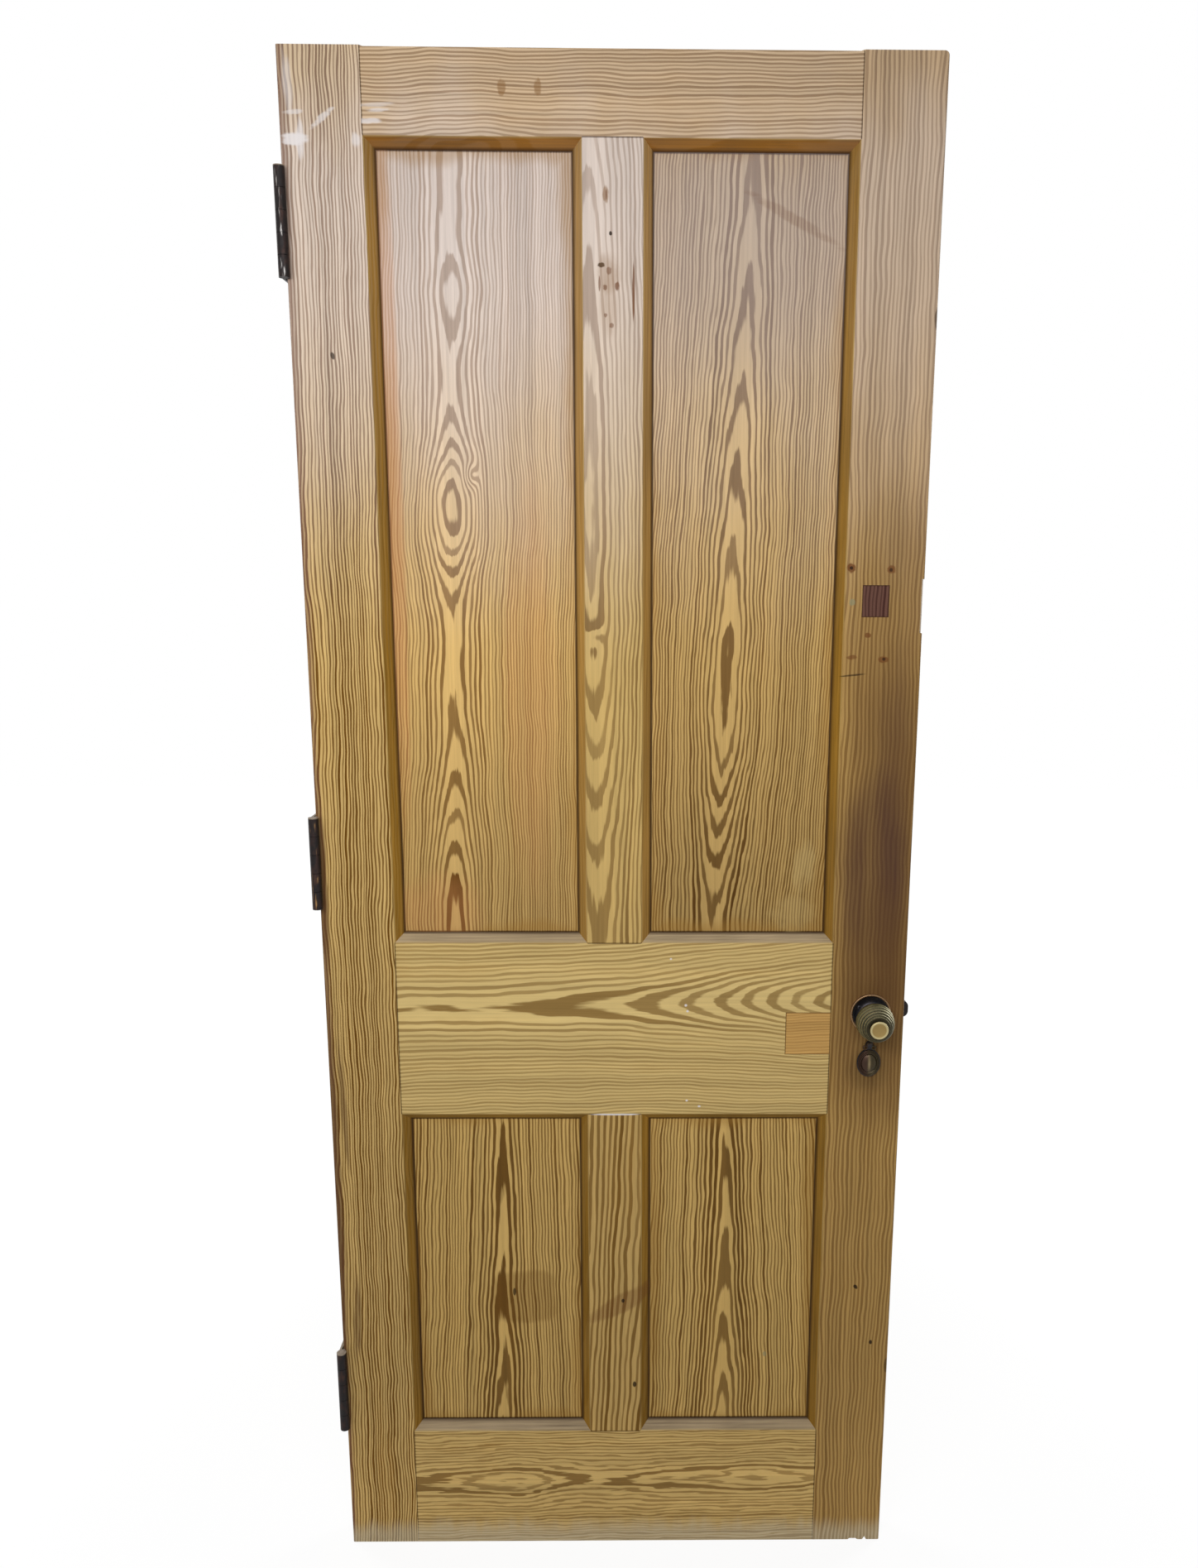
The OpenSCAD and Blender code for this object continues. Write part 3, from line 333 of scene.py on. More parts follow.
MARKS = {
    "hinge_stile": [
        Mark(-0.3323, 1.6276, 0.0024, 0.0042, 15, HOLE, 0.9, 0.4),
        Mark(-0.3780, 0.5600, 0.0060, 0.2200, 0, BROWN, 0.80, 1.6, 0.9),
        Mark(-0.3770, 0.9600, 0.0060, 0.1100, 0, BROWN, 0.75, 1.6, 0.9),
        Mark(-0.3640, 0.6800, 0.0040, 0.0800, 2, BROWN, 0.55, 1.6, 0.9),
        Mark(-0.3600, 0.3600, 0.0050, 0.0600, -2, BROWN, 0.55, 1.6, 0.9),
        Mark(-0.3697, 1.9225, 0.0050, 0.0280, 4, PAINT, 0.40, 1.4, 0.9),
        Mark(-0.3645, 1.8902, 0.0110, 0.0024, 5, PAINT, 0.50, 1.4, 0.7),
        Mark(-0.3315, 1.8849, 0.0150, 0.0034, 39, PAINT, 0.65, 1.4, 0.7),
        Mark(-0.3646, 1.8622, 0.0140, 0.0062, 0, PAINT, 0.85, 1.2, 0.6),
        Mark(-0.3580, 1.8618, 0.0044, 0.0200, 0, PAINT, 0.60, 1.4, 0.7),
        Mark(-0.2946, 1.8615, 0.0050, 0.0070, 0, PAINT, 0.55, 1.2, 0.9),
    ],
    "top_rail": [
        Mark(-0.1274, 1.9179, 0.0045, 0.0090, 0, TAN, 0.60, 0.9),
        Mark(-0.0862, 1.9182, 0.0040, 0.0090, 0, TAN, 0.60, 0.9),
        Mark(-0.2700, 1.8985, 0.0180, 0.0022, 3, PAINT, 0.40, 1.5, 0.9),
        Mark(-0.2678, 1.8930, 0.0110, 0.0020, 3, PAINT, 0.55, 1.5, 0.9),
        Mark(-0.2777, 1.8815, 0.0120, 0.0030, 0, PAINT, 0.60, 1.5, 0.9),
    ],
    "upper_muntin": [
        Mark(-0.0097, 1.8061, 0.0034, 0.0090, 0, TAN, 0.6, 0.9),
        Mark(-0.0090, 1.8061, 0.0010, 0.0060, 0, SCAR, 0.7, 0.9),
        Mark(-0.0041, 1.7644, 0.0018, 0.0024, 0, HOLE, 0.9, 0.4),
        Mark(-0.0150, 1.7300, 0.0040, 0.0026, 0, HOLE, 0.9, 0.9),
        Mark(-0.0061, 1.7210, 0.0118, 0.0200, 0, TAN, 0.35, 1.0, 0.8),
        Mark(-0.0061, 1.6830, 0.0090, 0.0300, 0, TAN, 0.22, 1.0, 0.9),
        Mark(-0.0061, 1.7238, 0.0030, 0.0040, 0, SCAR, 0.6, 1.1),
        Mark(0.0037, 1.7070, 0.0026, 0.0050, 0, SCAR, 0.8, 1.1),
        Mark(-0.0108, 1.7056, 0.0024, 0.0030, 0, SCAR, 0.7, 1.1),
        Mark(-0.0173, 1.7098, 0.0012, 0.0080, 0, SCAR, 0.7, 0.9),
        Mark(-0.0103, 1.6748, 0.0018, 0.0022, 0, SCAR, 0.6, 1.0),
        Mark(-0.0033, 1.6636, 0.0026, 0.0030, 0, SCAR, 0.6, 1.1),
        Mark(0.0226, 1.6984, 0.0014, 0.0320, 0, SCAR, 0.9, 0.9),
    ],
    "lock_stile": [
        Mark(0.3450, 1.0000, 0.0560, 0.2300, 0, BROWN, 0.60, 0.9, 1.0),
        Mark(0.3500, 1.2800, 0.0560, 0.1700, 0, BROWN, 0.32, 0.9, 1.0),
        Mark(0.3450, 0.7700, 0.0600, 0.1100, 0, BROWN, 0.50, 0.6, 1.0),
        Mark(0.3340, 1.0100, 0.0400, 0.1100, 0, STAIN, 0.56, 1.0, 1.0),
        Mark(0.3540, 1.1300, 0.0200, 0.1500, 0, STAIN, 0.26, 1.2, 1.0),
        Mark(0.3450, 0.8800, 0.0450, 0.0900, 0, BROWN, 0.45, 0.8, 1.0),
        Mark(0.3365, 0.7300, 0.0240, 0.0300, 0, HOLE, 0.35, 0.5, 1.0),
        Mark(0.2899, 1.3845, 0.0050, 0.0055, 20, SCAR, 0.9, 1.2),
        Mark(0.3398, 1.3837, 0.0055, 0.0050, 0, SCAR, 0.8, 1.3),
        Mark(0.3135, 1.3032, 0.0040, 0.0030, 0, SCAR, 0.8, 1.0),
        Mark(0.3342, 1.2736, 0.0060, 0.0040, 0, SCAR, 0.8, 1.2),
        Mark(0.2900, 1.3850, 0.0020, 0.0022, 0, HOLE, 0.9, 0.6),
        Mark(0.3390, 1.3830, 0.0020, 0.0024, 0, HOLE, 0.8, 0.6),
        Mark(0.3345, 1.2740, 0.0020, 0.0020, 0, HOLE, 0.8, 0.6),
        Mark(0.2940, 1.2760, 0.0060, 0.0030, 0, SCAR, 0.7, 1.2),
        Mark(0.2925, 1.3435, 0.0036, 0.0040, 0, FILLER, 0.7, 0.6),
        Mark(0.2970, 1.2540, 0.0150, 0.0012, 6, HOLE, 0.7, 0.5),
        Mark(0.3808, 1.6738, 0.0030, 0.0120, 0, HOLE, 0.6, 0.8),
        Mark(0.3795, 0.2847, 0.0030, 0.0100, 0, HOLE, 0.6, 0.8),
        Mark(0.3318, 0.4076, 0.0026, 0.0036, 30, HOLE, 0.9, 0.8),
        Mark(0.3560, 0.3213, 0.0022, 0.0032, 0, HOLE, 0.9, 0.8),
    ],
    "lock_rail": [
        Mark(0.0924, 0.8194, 0.0018, 0.0018, 0, PAINT, 0.9, 0.3),
        Mark(0.0947, 0.8113, 0.0016, 0.0016, 0, PAINT, 0.9, 0.3),
        Mark(0.0723, 0.8833, 0.0014, 0.0014, 0, PAINT, 0.8, 0.3),
        Mark(0.0948, 0.6849, 0.0016, 0.0014, 0, PAINT, 0.9, 0.3),
        Mark(0.1116, 0.6766, 0.0020, 0.0014, 0, PAINT, 0.9, 0.3),
    ],
    "lower_muntin": [
        Mark(-0.0010, 0.6650, 0.0290, 0.0014, 0, PAINT, 0.9, 0.9),
        Mark(0.0080, 0.3830, 0.0500, 0.0130, 30, SCAR, 0.40, 0.5),
        Mark(0.0093, 0.3869, 0.0022, 0.0030, 0, HOLE, 0.9, 0.4),
        Mark(0.0255, 0.2558, 0.0026, 0.0044, 0, HOLE, 0.9, 0.4),
    ],
    "lower_left_panel": [
        Mark(-0.1290, 0.3850, 0.0440, 0.0400, 2, SPOT, 0.42, 0.6, 0.4, square=True),
        Mark(-0.1422, 0.3927, 0.0022, 0.0058, 0, HOLE, 0.9, 0.4),
    ],
    "lower_right_panel": [
        Mark(0.2093, 0.2941, 0.0026, 0.0040, 0, FILLER, 0.7, 0.6),
    ],
    "upper_left_panel": [
        # A salmon strip along the panel's left edge, painted reflection.
        Mark(-0.2690, 1.4800, 0.0100, 0.3600, 0, SALMON, 0.50, 0.9, 0.9),
        Mark(-0.1050, 1.2200, 0.0300, 0.2200, 0, SALMON, 0.30, 0.9, 1.0),
        Mark(-0.2300, 0.9400, 0.0500, 0.0500, 0, SALMON, 0.30, 0.9, 1.0),
    ],
    "upper_right_panel": [
        # A grey-lilac cloud in the painted sheen at the top of this panel.
        Mark(0.1450, 1.8200, 0.1700, 0.1900, 0, SHEEN_GREY, 0.40, 0.6, 1.0),
        Mark(0.2428, 1.0016, 0.0110, 0.0300, -8, RUBBED, 0.55, 2.2, 0.9),
        Mark(0.2300, 0.9400, 0.0300, 0.0200, 0, RUBBED, 0.35, 2.0, 0.9),
        Mark(0.2100, 1.7850, 0.0560, 0.0050, -28, SCAR, 0.30, 1.6, 0.9),
    ],
}
print("marks:", sum(len(marks) for marks in MARKS.values()))

# %% Ovals
FRONT_HALF = (-0.008, -0.004)
RAGGED_RATE = 0.9
RAGGED_DEEP = 40


def oval(place, mark):
    """1 inside the mark, 0 outside it and on the back of the door."""
    turn = math.radians(mark.tilt)
    right, up = place.x - mark.x, place.z - mark.z
    along = (right * math.cos(turn) + up * math.sin(turn)) / mark.wide
    rest = (up * math.cos(turn) - right * math.sin(turn)) / mark.high
    rates = (RAGGED_RATE / mark.wide, RAGGED_DEEP, RAGGED_RATE / mark.high)
    rough = noise(place, *rates, detail=3.0, seed=mark.z)
    along, rest = along * along, rest * rest
    if mark.square:
        along, rest = along * along, rest * rest
    far = along + rest + rough * mark.ragged
    return far.fall(1 - mark.soft, 1 + mark.soft) * place.y.fall(*FRONT_HALF)


print("ovals are ready")

# %% [markdown]
# ## The wood
# Early wood is pale and late wood is dark. Each ring darkens quickly and ends sharply, so the ring
# number's fraction says which of them a point is. A pinkish-grey sheen is painted over the upper third of
# the door as a painted reflection. Old varnish is left on the chamfers, darkened with painted shade on the
# top rail's; those that face up carry a pale painted highlight instead. Dirt sits in the joints, and dirt
# with painted shade makes a dark line round the panels.

# %% Wood tones
EARLY, LATE = tone(212, 180, 114), tone(102, 66, 14)
# Painted sheen: the tones that early and late wood take under the painted reflection on the upper third.
EARLY_SHEEN, LATE_SHEEN = tone(222, 208, 198), tone(168, 146, 130)
AMBER = tone(160, 118, 52)
VARNISH = tone(142, 104, 34)
# Painted highlight: the pale grey of the chamfers that face up.
UP_FACING_SHEEN = tone(166, 148, 120)
# Dark tone of dirt in the joints, which round the panels also stands for painted shade.
GRIME_AND_SHADE = tone(52, 30, 14)
WORN_EDGE = tone(122, 86, 72)
TINTS = {
    "hinge_stile": (tone(212, 178, 112), tone(108, 72, 20)),
    "lock_stile": (tone(182, 146, 86), tone(98, 64, 22)),
    "top_rail": (tone(200, 166, 112), tone(128, 94, 46)),
    "lock_rail": (tone(224, 196, 130), tone(126, 92, 38)),
    "upper_muntin": (tone(206, 174, 108), tone(98, 62, 12)),
    "upper_left_panel": (tone(224, 186, 116), tone(106, 66, 14)),
    "upper_right_panel": (tone(208, 172, 106), tone(94, 60, 16)),
    "lower_muntin": (tone(200, 166, 102), tone(106, 72, 18)),
    "lower_left_panel": (tone(212, 176, 106), tone(94, 60, 12)),
    "lower_right_panel": (tone(212, 176, 106), tone(94, 60, 12)),
    "rail_patch": (tone(208, 164, 96), tone(150, 108, 56)),
    "stile_plug": (tone(104, 72, 60), tone(66, 38, 32)),
}
# The top rail's chamfer faces down, and its darker tone is painted shade over the varnish.
VARNISHES_AND_SHADE = {"top_rail": tone(124, 78, 0), "upper_muntin": tone(164, 124, 60)}
# How strongly each piece carries the painted sheen.
SHEEN_SHARES = {"upper_left_panel": 1.0, "upper_right_panel": 0.58, "upper_muntin": 0.95, "hinge_stile": 0.85,
          "lock_stile": 0.55, "top_rail": 0.60}
LEFT_EDGE, LEFT_ARRIS, RIGHT_ARRIS = -0.381, -0.2875, 0.2845
SHOULDERS = {
    "top_rail": ("x", (LEFT_ARRIS, RIGHT_ARRIS)),
    "lock_rail": ("x", (LEFT_ARRIS, RIGHT_ARRIS)),
    "bottom_rail": ("x", (LEFT_ARRIS, RIGHT_ARRIS)),
    "upper_muntin": ("z", (0.904, 1.8675)),
    "lower_muntin": ("z", (0.1805, 0.666)),
}
print("wood tones for", len(TINTS), "of the boards")

# %% [markdown]
# Edges are found by distance: from the edge of a panel or patch, or by how deep a point of a chamfer lies
# under the face. Each pair below says where such a change begins and where it is complete.

# %% Wood edges
TONGUE = 0.010
JOINT_LINE = (0.0006, 0.0020)
PATCH_LINE = (0.0004, 0.0018)
PANEL_AMBER = (-0.004, 0.016)
PANEL_DIRT_AND_SHADE = (0.0006, 0.0024)
INNER_SIDES = (0.320, 0.330)
INNER_FOOT, INNER_HEAD = (0.10, 0.11), (1.92, 1.93)
LOCK_RAIL_UPPER = (0.78, 0.80)
CHAMFER_TONE_FROM = (0.0004, 0.0012)
WORN_FROM, WORN_TO = (0.0002, 0.0008), (0.0014, 0.0026)
DIRT_AND_SHADE_FROM = (0.0085, 0.0120)
EDGE_STRIP = (0.002, 0.011)
LAP_RATES = (420, 420, 7)


def nearest(place, node, inset):
    """Distance from the edge of the seen part of a piece, which lies `inset` inside its box."""
    low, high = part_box(node)
    gaps = [place.x - (low.x + inset), (high.x - inset) - place.x,
            place.z - (low.z + inset), (high.z - inset) - place.z]
    least = gaps[0]
    for gap in gaps[1:]:
        least = least.calc("MINIMUM", least, gap)
    return least


def shoulder_lines(place, node):
    """1 along the fine joints at both ends of a rail or muntin."""
    axis, ends = SHOULDERS[node]
    level = getattr(place, axis)
    lines = [(level - end).size().fall(*JOINT_LINE) for end in ends]
    return lines[0] + lines[1]


def dress_edges(place, node, colour, fibre, streak, blotch):
    """Varnish, dirt, painted shade and a painted highlight at the edges of one piece."""
    if node.endswith("panel"):
        edge = nearest(place, node, TONGUE) + fibre * 0.0008
        amber = (edge + blotch * 0.034 + streak * 0.010).fall(*PANEL_AMBER)
        colour = (amber * 0.45).between(colour, AMBER)
        # A dark line round the panel's edge: dirt, and painted shade where the chamfer meets the panel.
        return (edge.fall(*PANEL_DIRT_AND_SHADE) * 0.9).between(colour, GRIME_AND_SHADE)
    if node in ("rail_patch", "stile_plug"):
        return (nearest(place, node, 0).fall(*PATCH_LINE) * 0.75).between(colour, GRIME_AND_SHADE)
    inside = place.x.size().fall(*INNER_SIDES) * place.z.rise(*INNER_FOOT) * place.z.fall(*INNER_HEAD)
    sunk = (HALF_THICK - place.y.size()) * inside
    # Chamfers that face up get a pale painted highlight instead of the varnish.
    upward = {"bottom_rail": 1.0, "lock_rail": place.z.rise(*LOCK_RAIL_UPPER)}.get(node, 0.0)
    lap = grain_noise(place, BOARDS[node], LAP_RATES, seed=5.0)
    varnish_and_painted_light = (place.x * 0 + upward).between(VARNISHES_AND_SHADE.get(node, VARNISH), UP_FACING_SHEEN)
    varnish_and_painted_light = varnish_and_painted_light.shaded(1 + lap * 0.55 + blotch * 0.55)
    colour = (sunk.rise(*CHAMFER_TONE_FROM) * 0.90).between(colour, varnish_and_painted_light)
    worn = sunk.rise(*WORN_FROM) * sunk.fall(*WORN_TO) * lap.rise(-0.5, 0.3)
    colour = (worn * 0.50).between(colour, RUBBED)
    # The foot of the chamfer, next to the panel, is darkened with dirt and painted shade.
    colour = (sunk.rise(*DIRT_AND_SHADE_FROM) * 0.80).between(colour, GRIME_AND_SHADE)
    if node in SHOULDERS:
        colour = (shoulder_lines(place, node) * 0.80).between(colour, GRIME_AND_SHADE)
    if node == "hinge_stile":
        strip = (place.x - LEFT_EDGE + blotch * 0.004).fall(*EDGE_STRIP)
        colour = (strip * 0.55).between(colour, WORN_EDGE)
    return colour


print("edges are ready")

# %% [markdown]
# One function now makes the wood of any board: first its rings, then the painted sheen, amber patches
# and fine fibres, then its edges, painted light towards the floor on all but the panels, the bleached foot
# and the marks. Again each pair says where a change begins and where it is complete.

# %% Painted sheen and late wood
SHEEN_FROM, SHEEN_TO = (1.24, 1.80), (1.82, 1.94)
LATE_START, START_CHANCE, START_BLOTCH = 0.28, 0.24, 0.12
LATE_RAMP, LATE_END = (0.0, 0.16), (0.90, 0.99)


def painted_sheen(place, node, blotch):
    """How strongly the painted sheen, a painted reflection, covers the upper part of one piece."""
    height = place.z + blotch * 0.14
    return height.rise(*SHEEN_FROM) * (1 - height.rise(*SHEEN_TO) * 0.45) * SHEEN_SHARES.get(node, 0.0)


def late_wood(ring, blotch):
    """1 in the dark part of each ring, and a number by chance for the ring."""
    turn = ring.calc("FRACT", ring)
    whole = ring.calc("FLOOR", ring)
    made = ring.node("ShaderNodeTexWhiteNoise", {"noise_dimensions": "1D"}, {"W": whole})
    chance = Field(made.outputs[0])
    start = LATE_START + chance * START_CHANCE - blotch * START_BLOTCH
    return (turn - start).rise(*LATE_RAMP) * turn.fall(*LATE_END), chance


print("paling and late wood are ready")

# %% Wood
PLAIN_BESIDE = (0.010, 0.060)
AMBER_PATCHES = (0.1, 1.0)
UPPER_PANEL_DARKENING = (0.92, 1.30)
FOOT_PAINTED_LIGHT = (0.02, 0.30)
FOOT_BLEACH = (0.010, 0.042)
FIBRE_RATES = (900, 300, 14)
STREAK_RATES = (40, 8, 1.6)
THREAD_RATES = (230, 40, 3.0)
BLOTCH_RATES = (9, 9, 4)
DRIP_RATES = (70, 20, 3)
WOOD_RELIEF = 0.00012
WOOD_SHINE = 0.07


def wood(node):
    """The material of one board."""
    board = BOARDS[node]
    seed = float(list(BOARDS).index(node))
    material, place = new_material(node + "_wood")
    early, late = TINTS.get(node, (EARLY, LATE))
    ring, beside = rings(place, board, seed)
    fibre = grain_noise(place, board, FIBRE_RATES, detail=3.0, seed=seed)
    streak = grain_noise(place, board, STREAK_RATES, detail=3.0, seed=seed + 60)
    blotch = noise(place, *BLOTCH_RATES, detail=3.0, seed=seed + 20)
    thread = grain_noise(place, board, THREAD_RATES, seed=seed + 100)
    dark, chance = late_wood(ring, blotch)
    plain = beside.rise(*PLAIN_BESIDE) * board.plain
    amount = dark * (1.10 - chance * 0.40) * (1 - plain * 0.6) * board.contrast + plain * 0.16
    # Painted reflection: the upper part pales towards a pinkish grey.
    sheen = painted_sheen(place, node, blotch)
    colour = amount.between(sheen.between(early, EARLY_SHEEN), sheen.between(late, LATE_SHEEN))
    colour = ((streak + blotch).rise(*AMBER_PATCHES) * (1 - sheen) * 0.30).between(colour, AMBER)
    colour = colour.shaded(1 + fibre * 0.16 + thread * 0.20 + streak * 0.18 + blotch * 0.08)
    # The upper panels are darker towards their bottom.
    if node.startswith("upper") and node.endswith("panel"):
        colour = colour.shaded(1 - (place.z + blotch * 0.10).fall(*UPPER_PANEL_DARKENING) * 0.20)
    colour = dress_edges(place, node, colour, fibre, streak, blotch)
    if not node.endswith("panel"):
        # Painted light: the stiles, rails and muntins are made lighter towards the floor.
        colour = colour.shaded(1 + place.z.fall(*FOOT_PAINTED_LIGHT) * 0.16)
        drip = noise(place, *DRIP_RATES, seed=seed + 120)
        foot = (place.z + drip * 0.012 + blotch * 0.012).fall(*FOOT_BLEACH)
        colour = (foot * (0.72 - dark * 0.30)).between(colour, BLEACHED)
    for mark in MARKS.get(node, []):
        cover = oval(place, mark) * mark.cover * (1 + streak * mark.soft * 0.7)
        colour = cover.between(colour, mark.colour)
    roughness = 0.42 + blotch * 0.06 + dark * 0.05
    height = dark * 0.5 + fibre * 0.4
    return finish_material(material, colour, roughness, height, WOOD_RELIEF, Specular_IOR_Level=WOOD_SHINE)


PANEL_WOOD = ("upper_left_panel", "upper_right_panel", "lower_left_panel", "lower_right_panel",
              "tenon_wedges")
WOOD_SLOTS = {"rail_patch": "pine_patch", "stile_plug": "stained_plug"}
for name in BOARDS:
    give(name, wood(name), WOOD_SLOTS.get(name, "pine_panel" if name in PANEL_WOOD else "pine"))
print("wooden pieces:", len(BOARDS))

# %% [markdown]
# ## The metals
# The hinges are dark iron with rust and a few bright rubbed spots. The lock's works are grey steel, and
# its forend and latch are nearly black. The knobs are brass gone olive. The roses and the keyhole's
# furniture are dark bronze that is rubbed on its rims.

# %% Steel and dark lock metal
def worn_metal(name, body, second, rubbed, second_share, rub_share, roughness, scale, relief):
    """Metal in two blotched tones with small rubbed spots."""
    material, place = new_material(name)
    blotch = noise(place, scale, scale, scale, detail=4.0)
    spots = noise(place, scale * 3, scale * 3, scale * 2, detail=4.0, seed=3.0)
    colour = blotch.rise(0.4 - second_share, 0.7 - second_share).between(body, second)
    bright = spots.rise(0.60 - rub_share, 0.85 - rub_share)
    colour = bright.between(colour, rubbed)
    rough = roughness + blotch * 0.12 - bright * 0.15
    return finish_material(material, colour, rough, blotch + spots * 0.5, relief, Metallic=0.75)


steel = worn_metal("lock_steel", tone(120, 116, 110), tone(96, 84, 70), tone(170, 168, 164),
                   second_share=0.20, rub_share=0.10, roughness=0.45, scale=90, relief=0.0001)
black = worn_metal("dark_lock_metal", tone(34, 30, 30), tone(56, 46, 38), tone(110, 100, 84),
                   second_share=0.20, rub_share=0.05, roughness=0.42, scale=120, relief=0.0001)
print("metals of the lock are ready")

# %% Iron, and the pieces of both
HINGES = ("top_hinge", "middle_hinge", "bottom_hinge")
BARREL_FRONT = (-0.0331, -0.0316)
TOP_HINGE_FROM, MIDDLE_HINGE_FROM = (1.3, 1.5), (0.5, 0.8)
PIN_END_BELOW, PIN_END_ABOVE = (0.0016, 0.0004), (0.0010, 0.0020)
IRON_BLOTCH, IRON_SCRAPE, IRON_RELIEF = (160, 160, 60), (300, 300, 34), 0.0004


def make_iron():
    """Dark iron. The barrels are rubbed in spots, to a tan on the middle hinge and on the top one to a near
    white that is a painted highlight; a painted highlight also rings the top of each pin.
    """
    material, place = new_material("hinge_iron")
    blotch = noise(place, *IRON_BLOTCH, detail=4.0)
    scrape = noise(place, *IRON_SCRAPE, detail=3.0, seed=7.0)
    barrel = place.y.fall(*BARREL_FRONT)
    colour = blotch.rise(-0.1, 0.7).between(tone(24, 18, 18), tone(66, 42, 34))
    # On the top hinge the rubbed spots are a near-white painted highlight.
    rubbed = place.z.rise(*TOP_HINGE_FROM).between(tone(168, 128, 80), tone(214, 210, 206))
    shine = barrel * scrape.rise(0.10, 0.42) * place.z.rise(*MIDDLE_HINGE_FROM)
    colour = (shine * 0.85).between(colour, rubbed)
    for hinge in HINGES:
        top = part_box(hinge + "_pin")[1].z
        below, above = [top - by for by in PIN_END_BELOW], [top + by for by in PIN_END_ABOVE]
        # Painted highlight: a pale band round the top of each pin.
        colour = (place.z.rise(*below) * place.z.fall(*above) * 0.6).between(colour, tone(176, 160, 140))
    rough = 0.55 + blotch * 0.12 - shine * 0.15
    return finish_material(material, colour, rough, blotch + scrape * 0.5, IRON_RELIEF, Metallic=0.6)


HINGE_PARTS = [f"{hinge}_{part}" for hinge in HINGES for part in ("frame_leaf", "door_leaf", "pin")]
LOCK_PARTS = ["lock_case", "lock_cap", "cap_screws", "dead_bolt", "spindle", "knob_grub_screws"]
METALS = {
    "hinge_iron": (make_iron(), HINGE_PARTS + ["hinge_screws"]),
    "lock_steel": (steel, LOCK_PARTS),
    "dark_lock_metal": (black, ["lock_forend", "forend_screws", "latch_bolt"]),
}
for slot, (material, names) in METALS.items():
    for name in names:
        give(name, material, slot)
print("metals:", ", ".join(METALS))

# %% [markdown]
# A hairpin spring in the lock pushes the latch out. When a knob draws the latch in, the spring is pressed
# flat against the back of the lock's case. So a copy that can be squashed stands for the stiff spring of
# the drawing.

# %% Latch spring
spring = bpy.data.objects.new("hairpin_spring", nodes["latch_spring"].data.copy())
bpy.context.scene.collection.objects.link(spring)
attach(spring, "door")
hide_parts("latch_spring")
give("hairpin_spring", steel, "lock_steel")
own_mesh(spring)

# %% [markdown]
# The brass and the bronze also depend on how far a point lies from the middle of the knob or of the
# keyhole cover, because hands rub the rims and dirt stays in the grooves between the beads. The crown of
# the keyhole cover carries a painted highlight.

# %% Brass
SPINDLE = Vector((0.3365, 0.0, 0.8085))
KEYHOLE = Vector((0.3365, 0.0, 0.7395))
BAND_END, BUTTON_LOW = 0.027, 0.0570
BEADS, SHOULDER_ARC = 6, 80
BRASS_BUMPS, BRASS_RELIEF = (150, 150, 150), 0.00008
FIRST_BEAD, CREST_HALF, CREST_FROM = (0.0, 0.15), 0.22, (0.1, 0.7)
GROOVE_LOW, GROOVE_HIGH, BUTTON_WALL = (0.0, 0.28), (0.72, 1.0), (0.97, 1.0)
BUTTON_FROM, BUTTON_RIM = (0.0795, 0.0805), (0.0085, 0.0100)


def away(place, middle):
    """Distance from an axis that runs through the door."""
    right, up = place.x - middle.x, place.z - middle.z
    return (right * right + up * up).root()


def make_brass():
    """Olive brass: dark in the grooves, pale on the crests of the beads, and rubbed on the button."""
    material, place = new_material("aged_brass")
    blotch = noise(place, *BRASS_BUMPS, detail=4.0)
    out = place.y.size()
    button = out.rise(*BUTTON_FROM)
    colour = blotch.rise(-0.6, 0.7).between(tone(80, 75, 46), tone(116, 110, 74))
    climbed = (out - HALF_THICK - BAND_END) / (BUTTON_LOW - BAND_END)
    climbed = climbed.calc("MAXIMUM", climbed, 0)
    turn = climbed.calc("ARCSINE", climbed) * (BEADS / math.radians(SHOULDER_ARC))
    bead = turn.calc("FRACT", turn)
    crest = ((bead - 0.5) / CREST_HALF).bump() * climbed.rise(*FIRST_BEAD)
    groove = (bead.fall(*GROOVE_LOW) + bead.rise(*GROOVE_HIGH)) * climbed.rise(*FIRST_BEAD)
    colour = (groove * 0.90).between(colour, tone(24, 20, 10))
    colour = (crest * climbed.rise(*CREST_FROM) * 0.85).between(colour, tone(190, 184, 150))
    colour = climbed.rise(*BUTTON_WALL).between(colour, tone(44, 38, 22))
    face = away(place, SPINDLE).rise(*BUTTON_RIM).between(tone(150, 126, 76), tone(186, 172, 126))
    colour = (button * 0.9).between(colour, face)
    rough = 0.46 + blotch * 0.10
    return finish_material(material, colour, rough, blotch, BRASS_RELIEF, Metallic=0.8)


print("brass is ready")

# %% Bronze
BRONZE_BUMPS, BRONZE_RELIEF = (170, 170, 170), 0.00010
ROSE_RIM_FROM, ROSE_RIM_TO = (0.0238, 0.0246), (0.0285, 0.0300)
CROWN_WIDE, CROWN_HIGH, OLIVE_FROM = 0.0016, 0.0090, (-0.006, 0.004)


def make_bronze():
    """Nearly black bronze, rubbed on the rims of the roses."""
    material, place = new_material("dark_bronze")
    blotch = noise(place, *BRONZE_BUMPS, detail=4.0)
    rim = away(place, SPINDLE).rise(*ROSE_RIM_FROM) * away(place, SPINDLE).fall(*ROSE_RIM_TO)
    colour = blotch.rise(-0.5, 0.6).between(tone(32, 33, 40), tone(52, 46, 44))
    colour = (rim * (blotch * 0.3 + 0.70)).between(colour, tone(156, 122, 84))
    rough = 0.38 + blotch * 0.10
    return finish_material(material, colour, rough, blotch, BRONZE_RELIEF, Metallic=0.75)


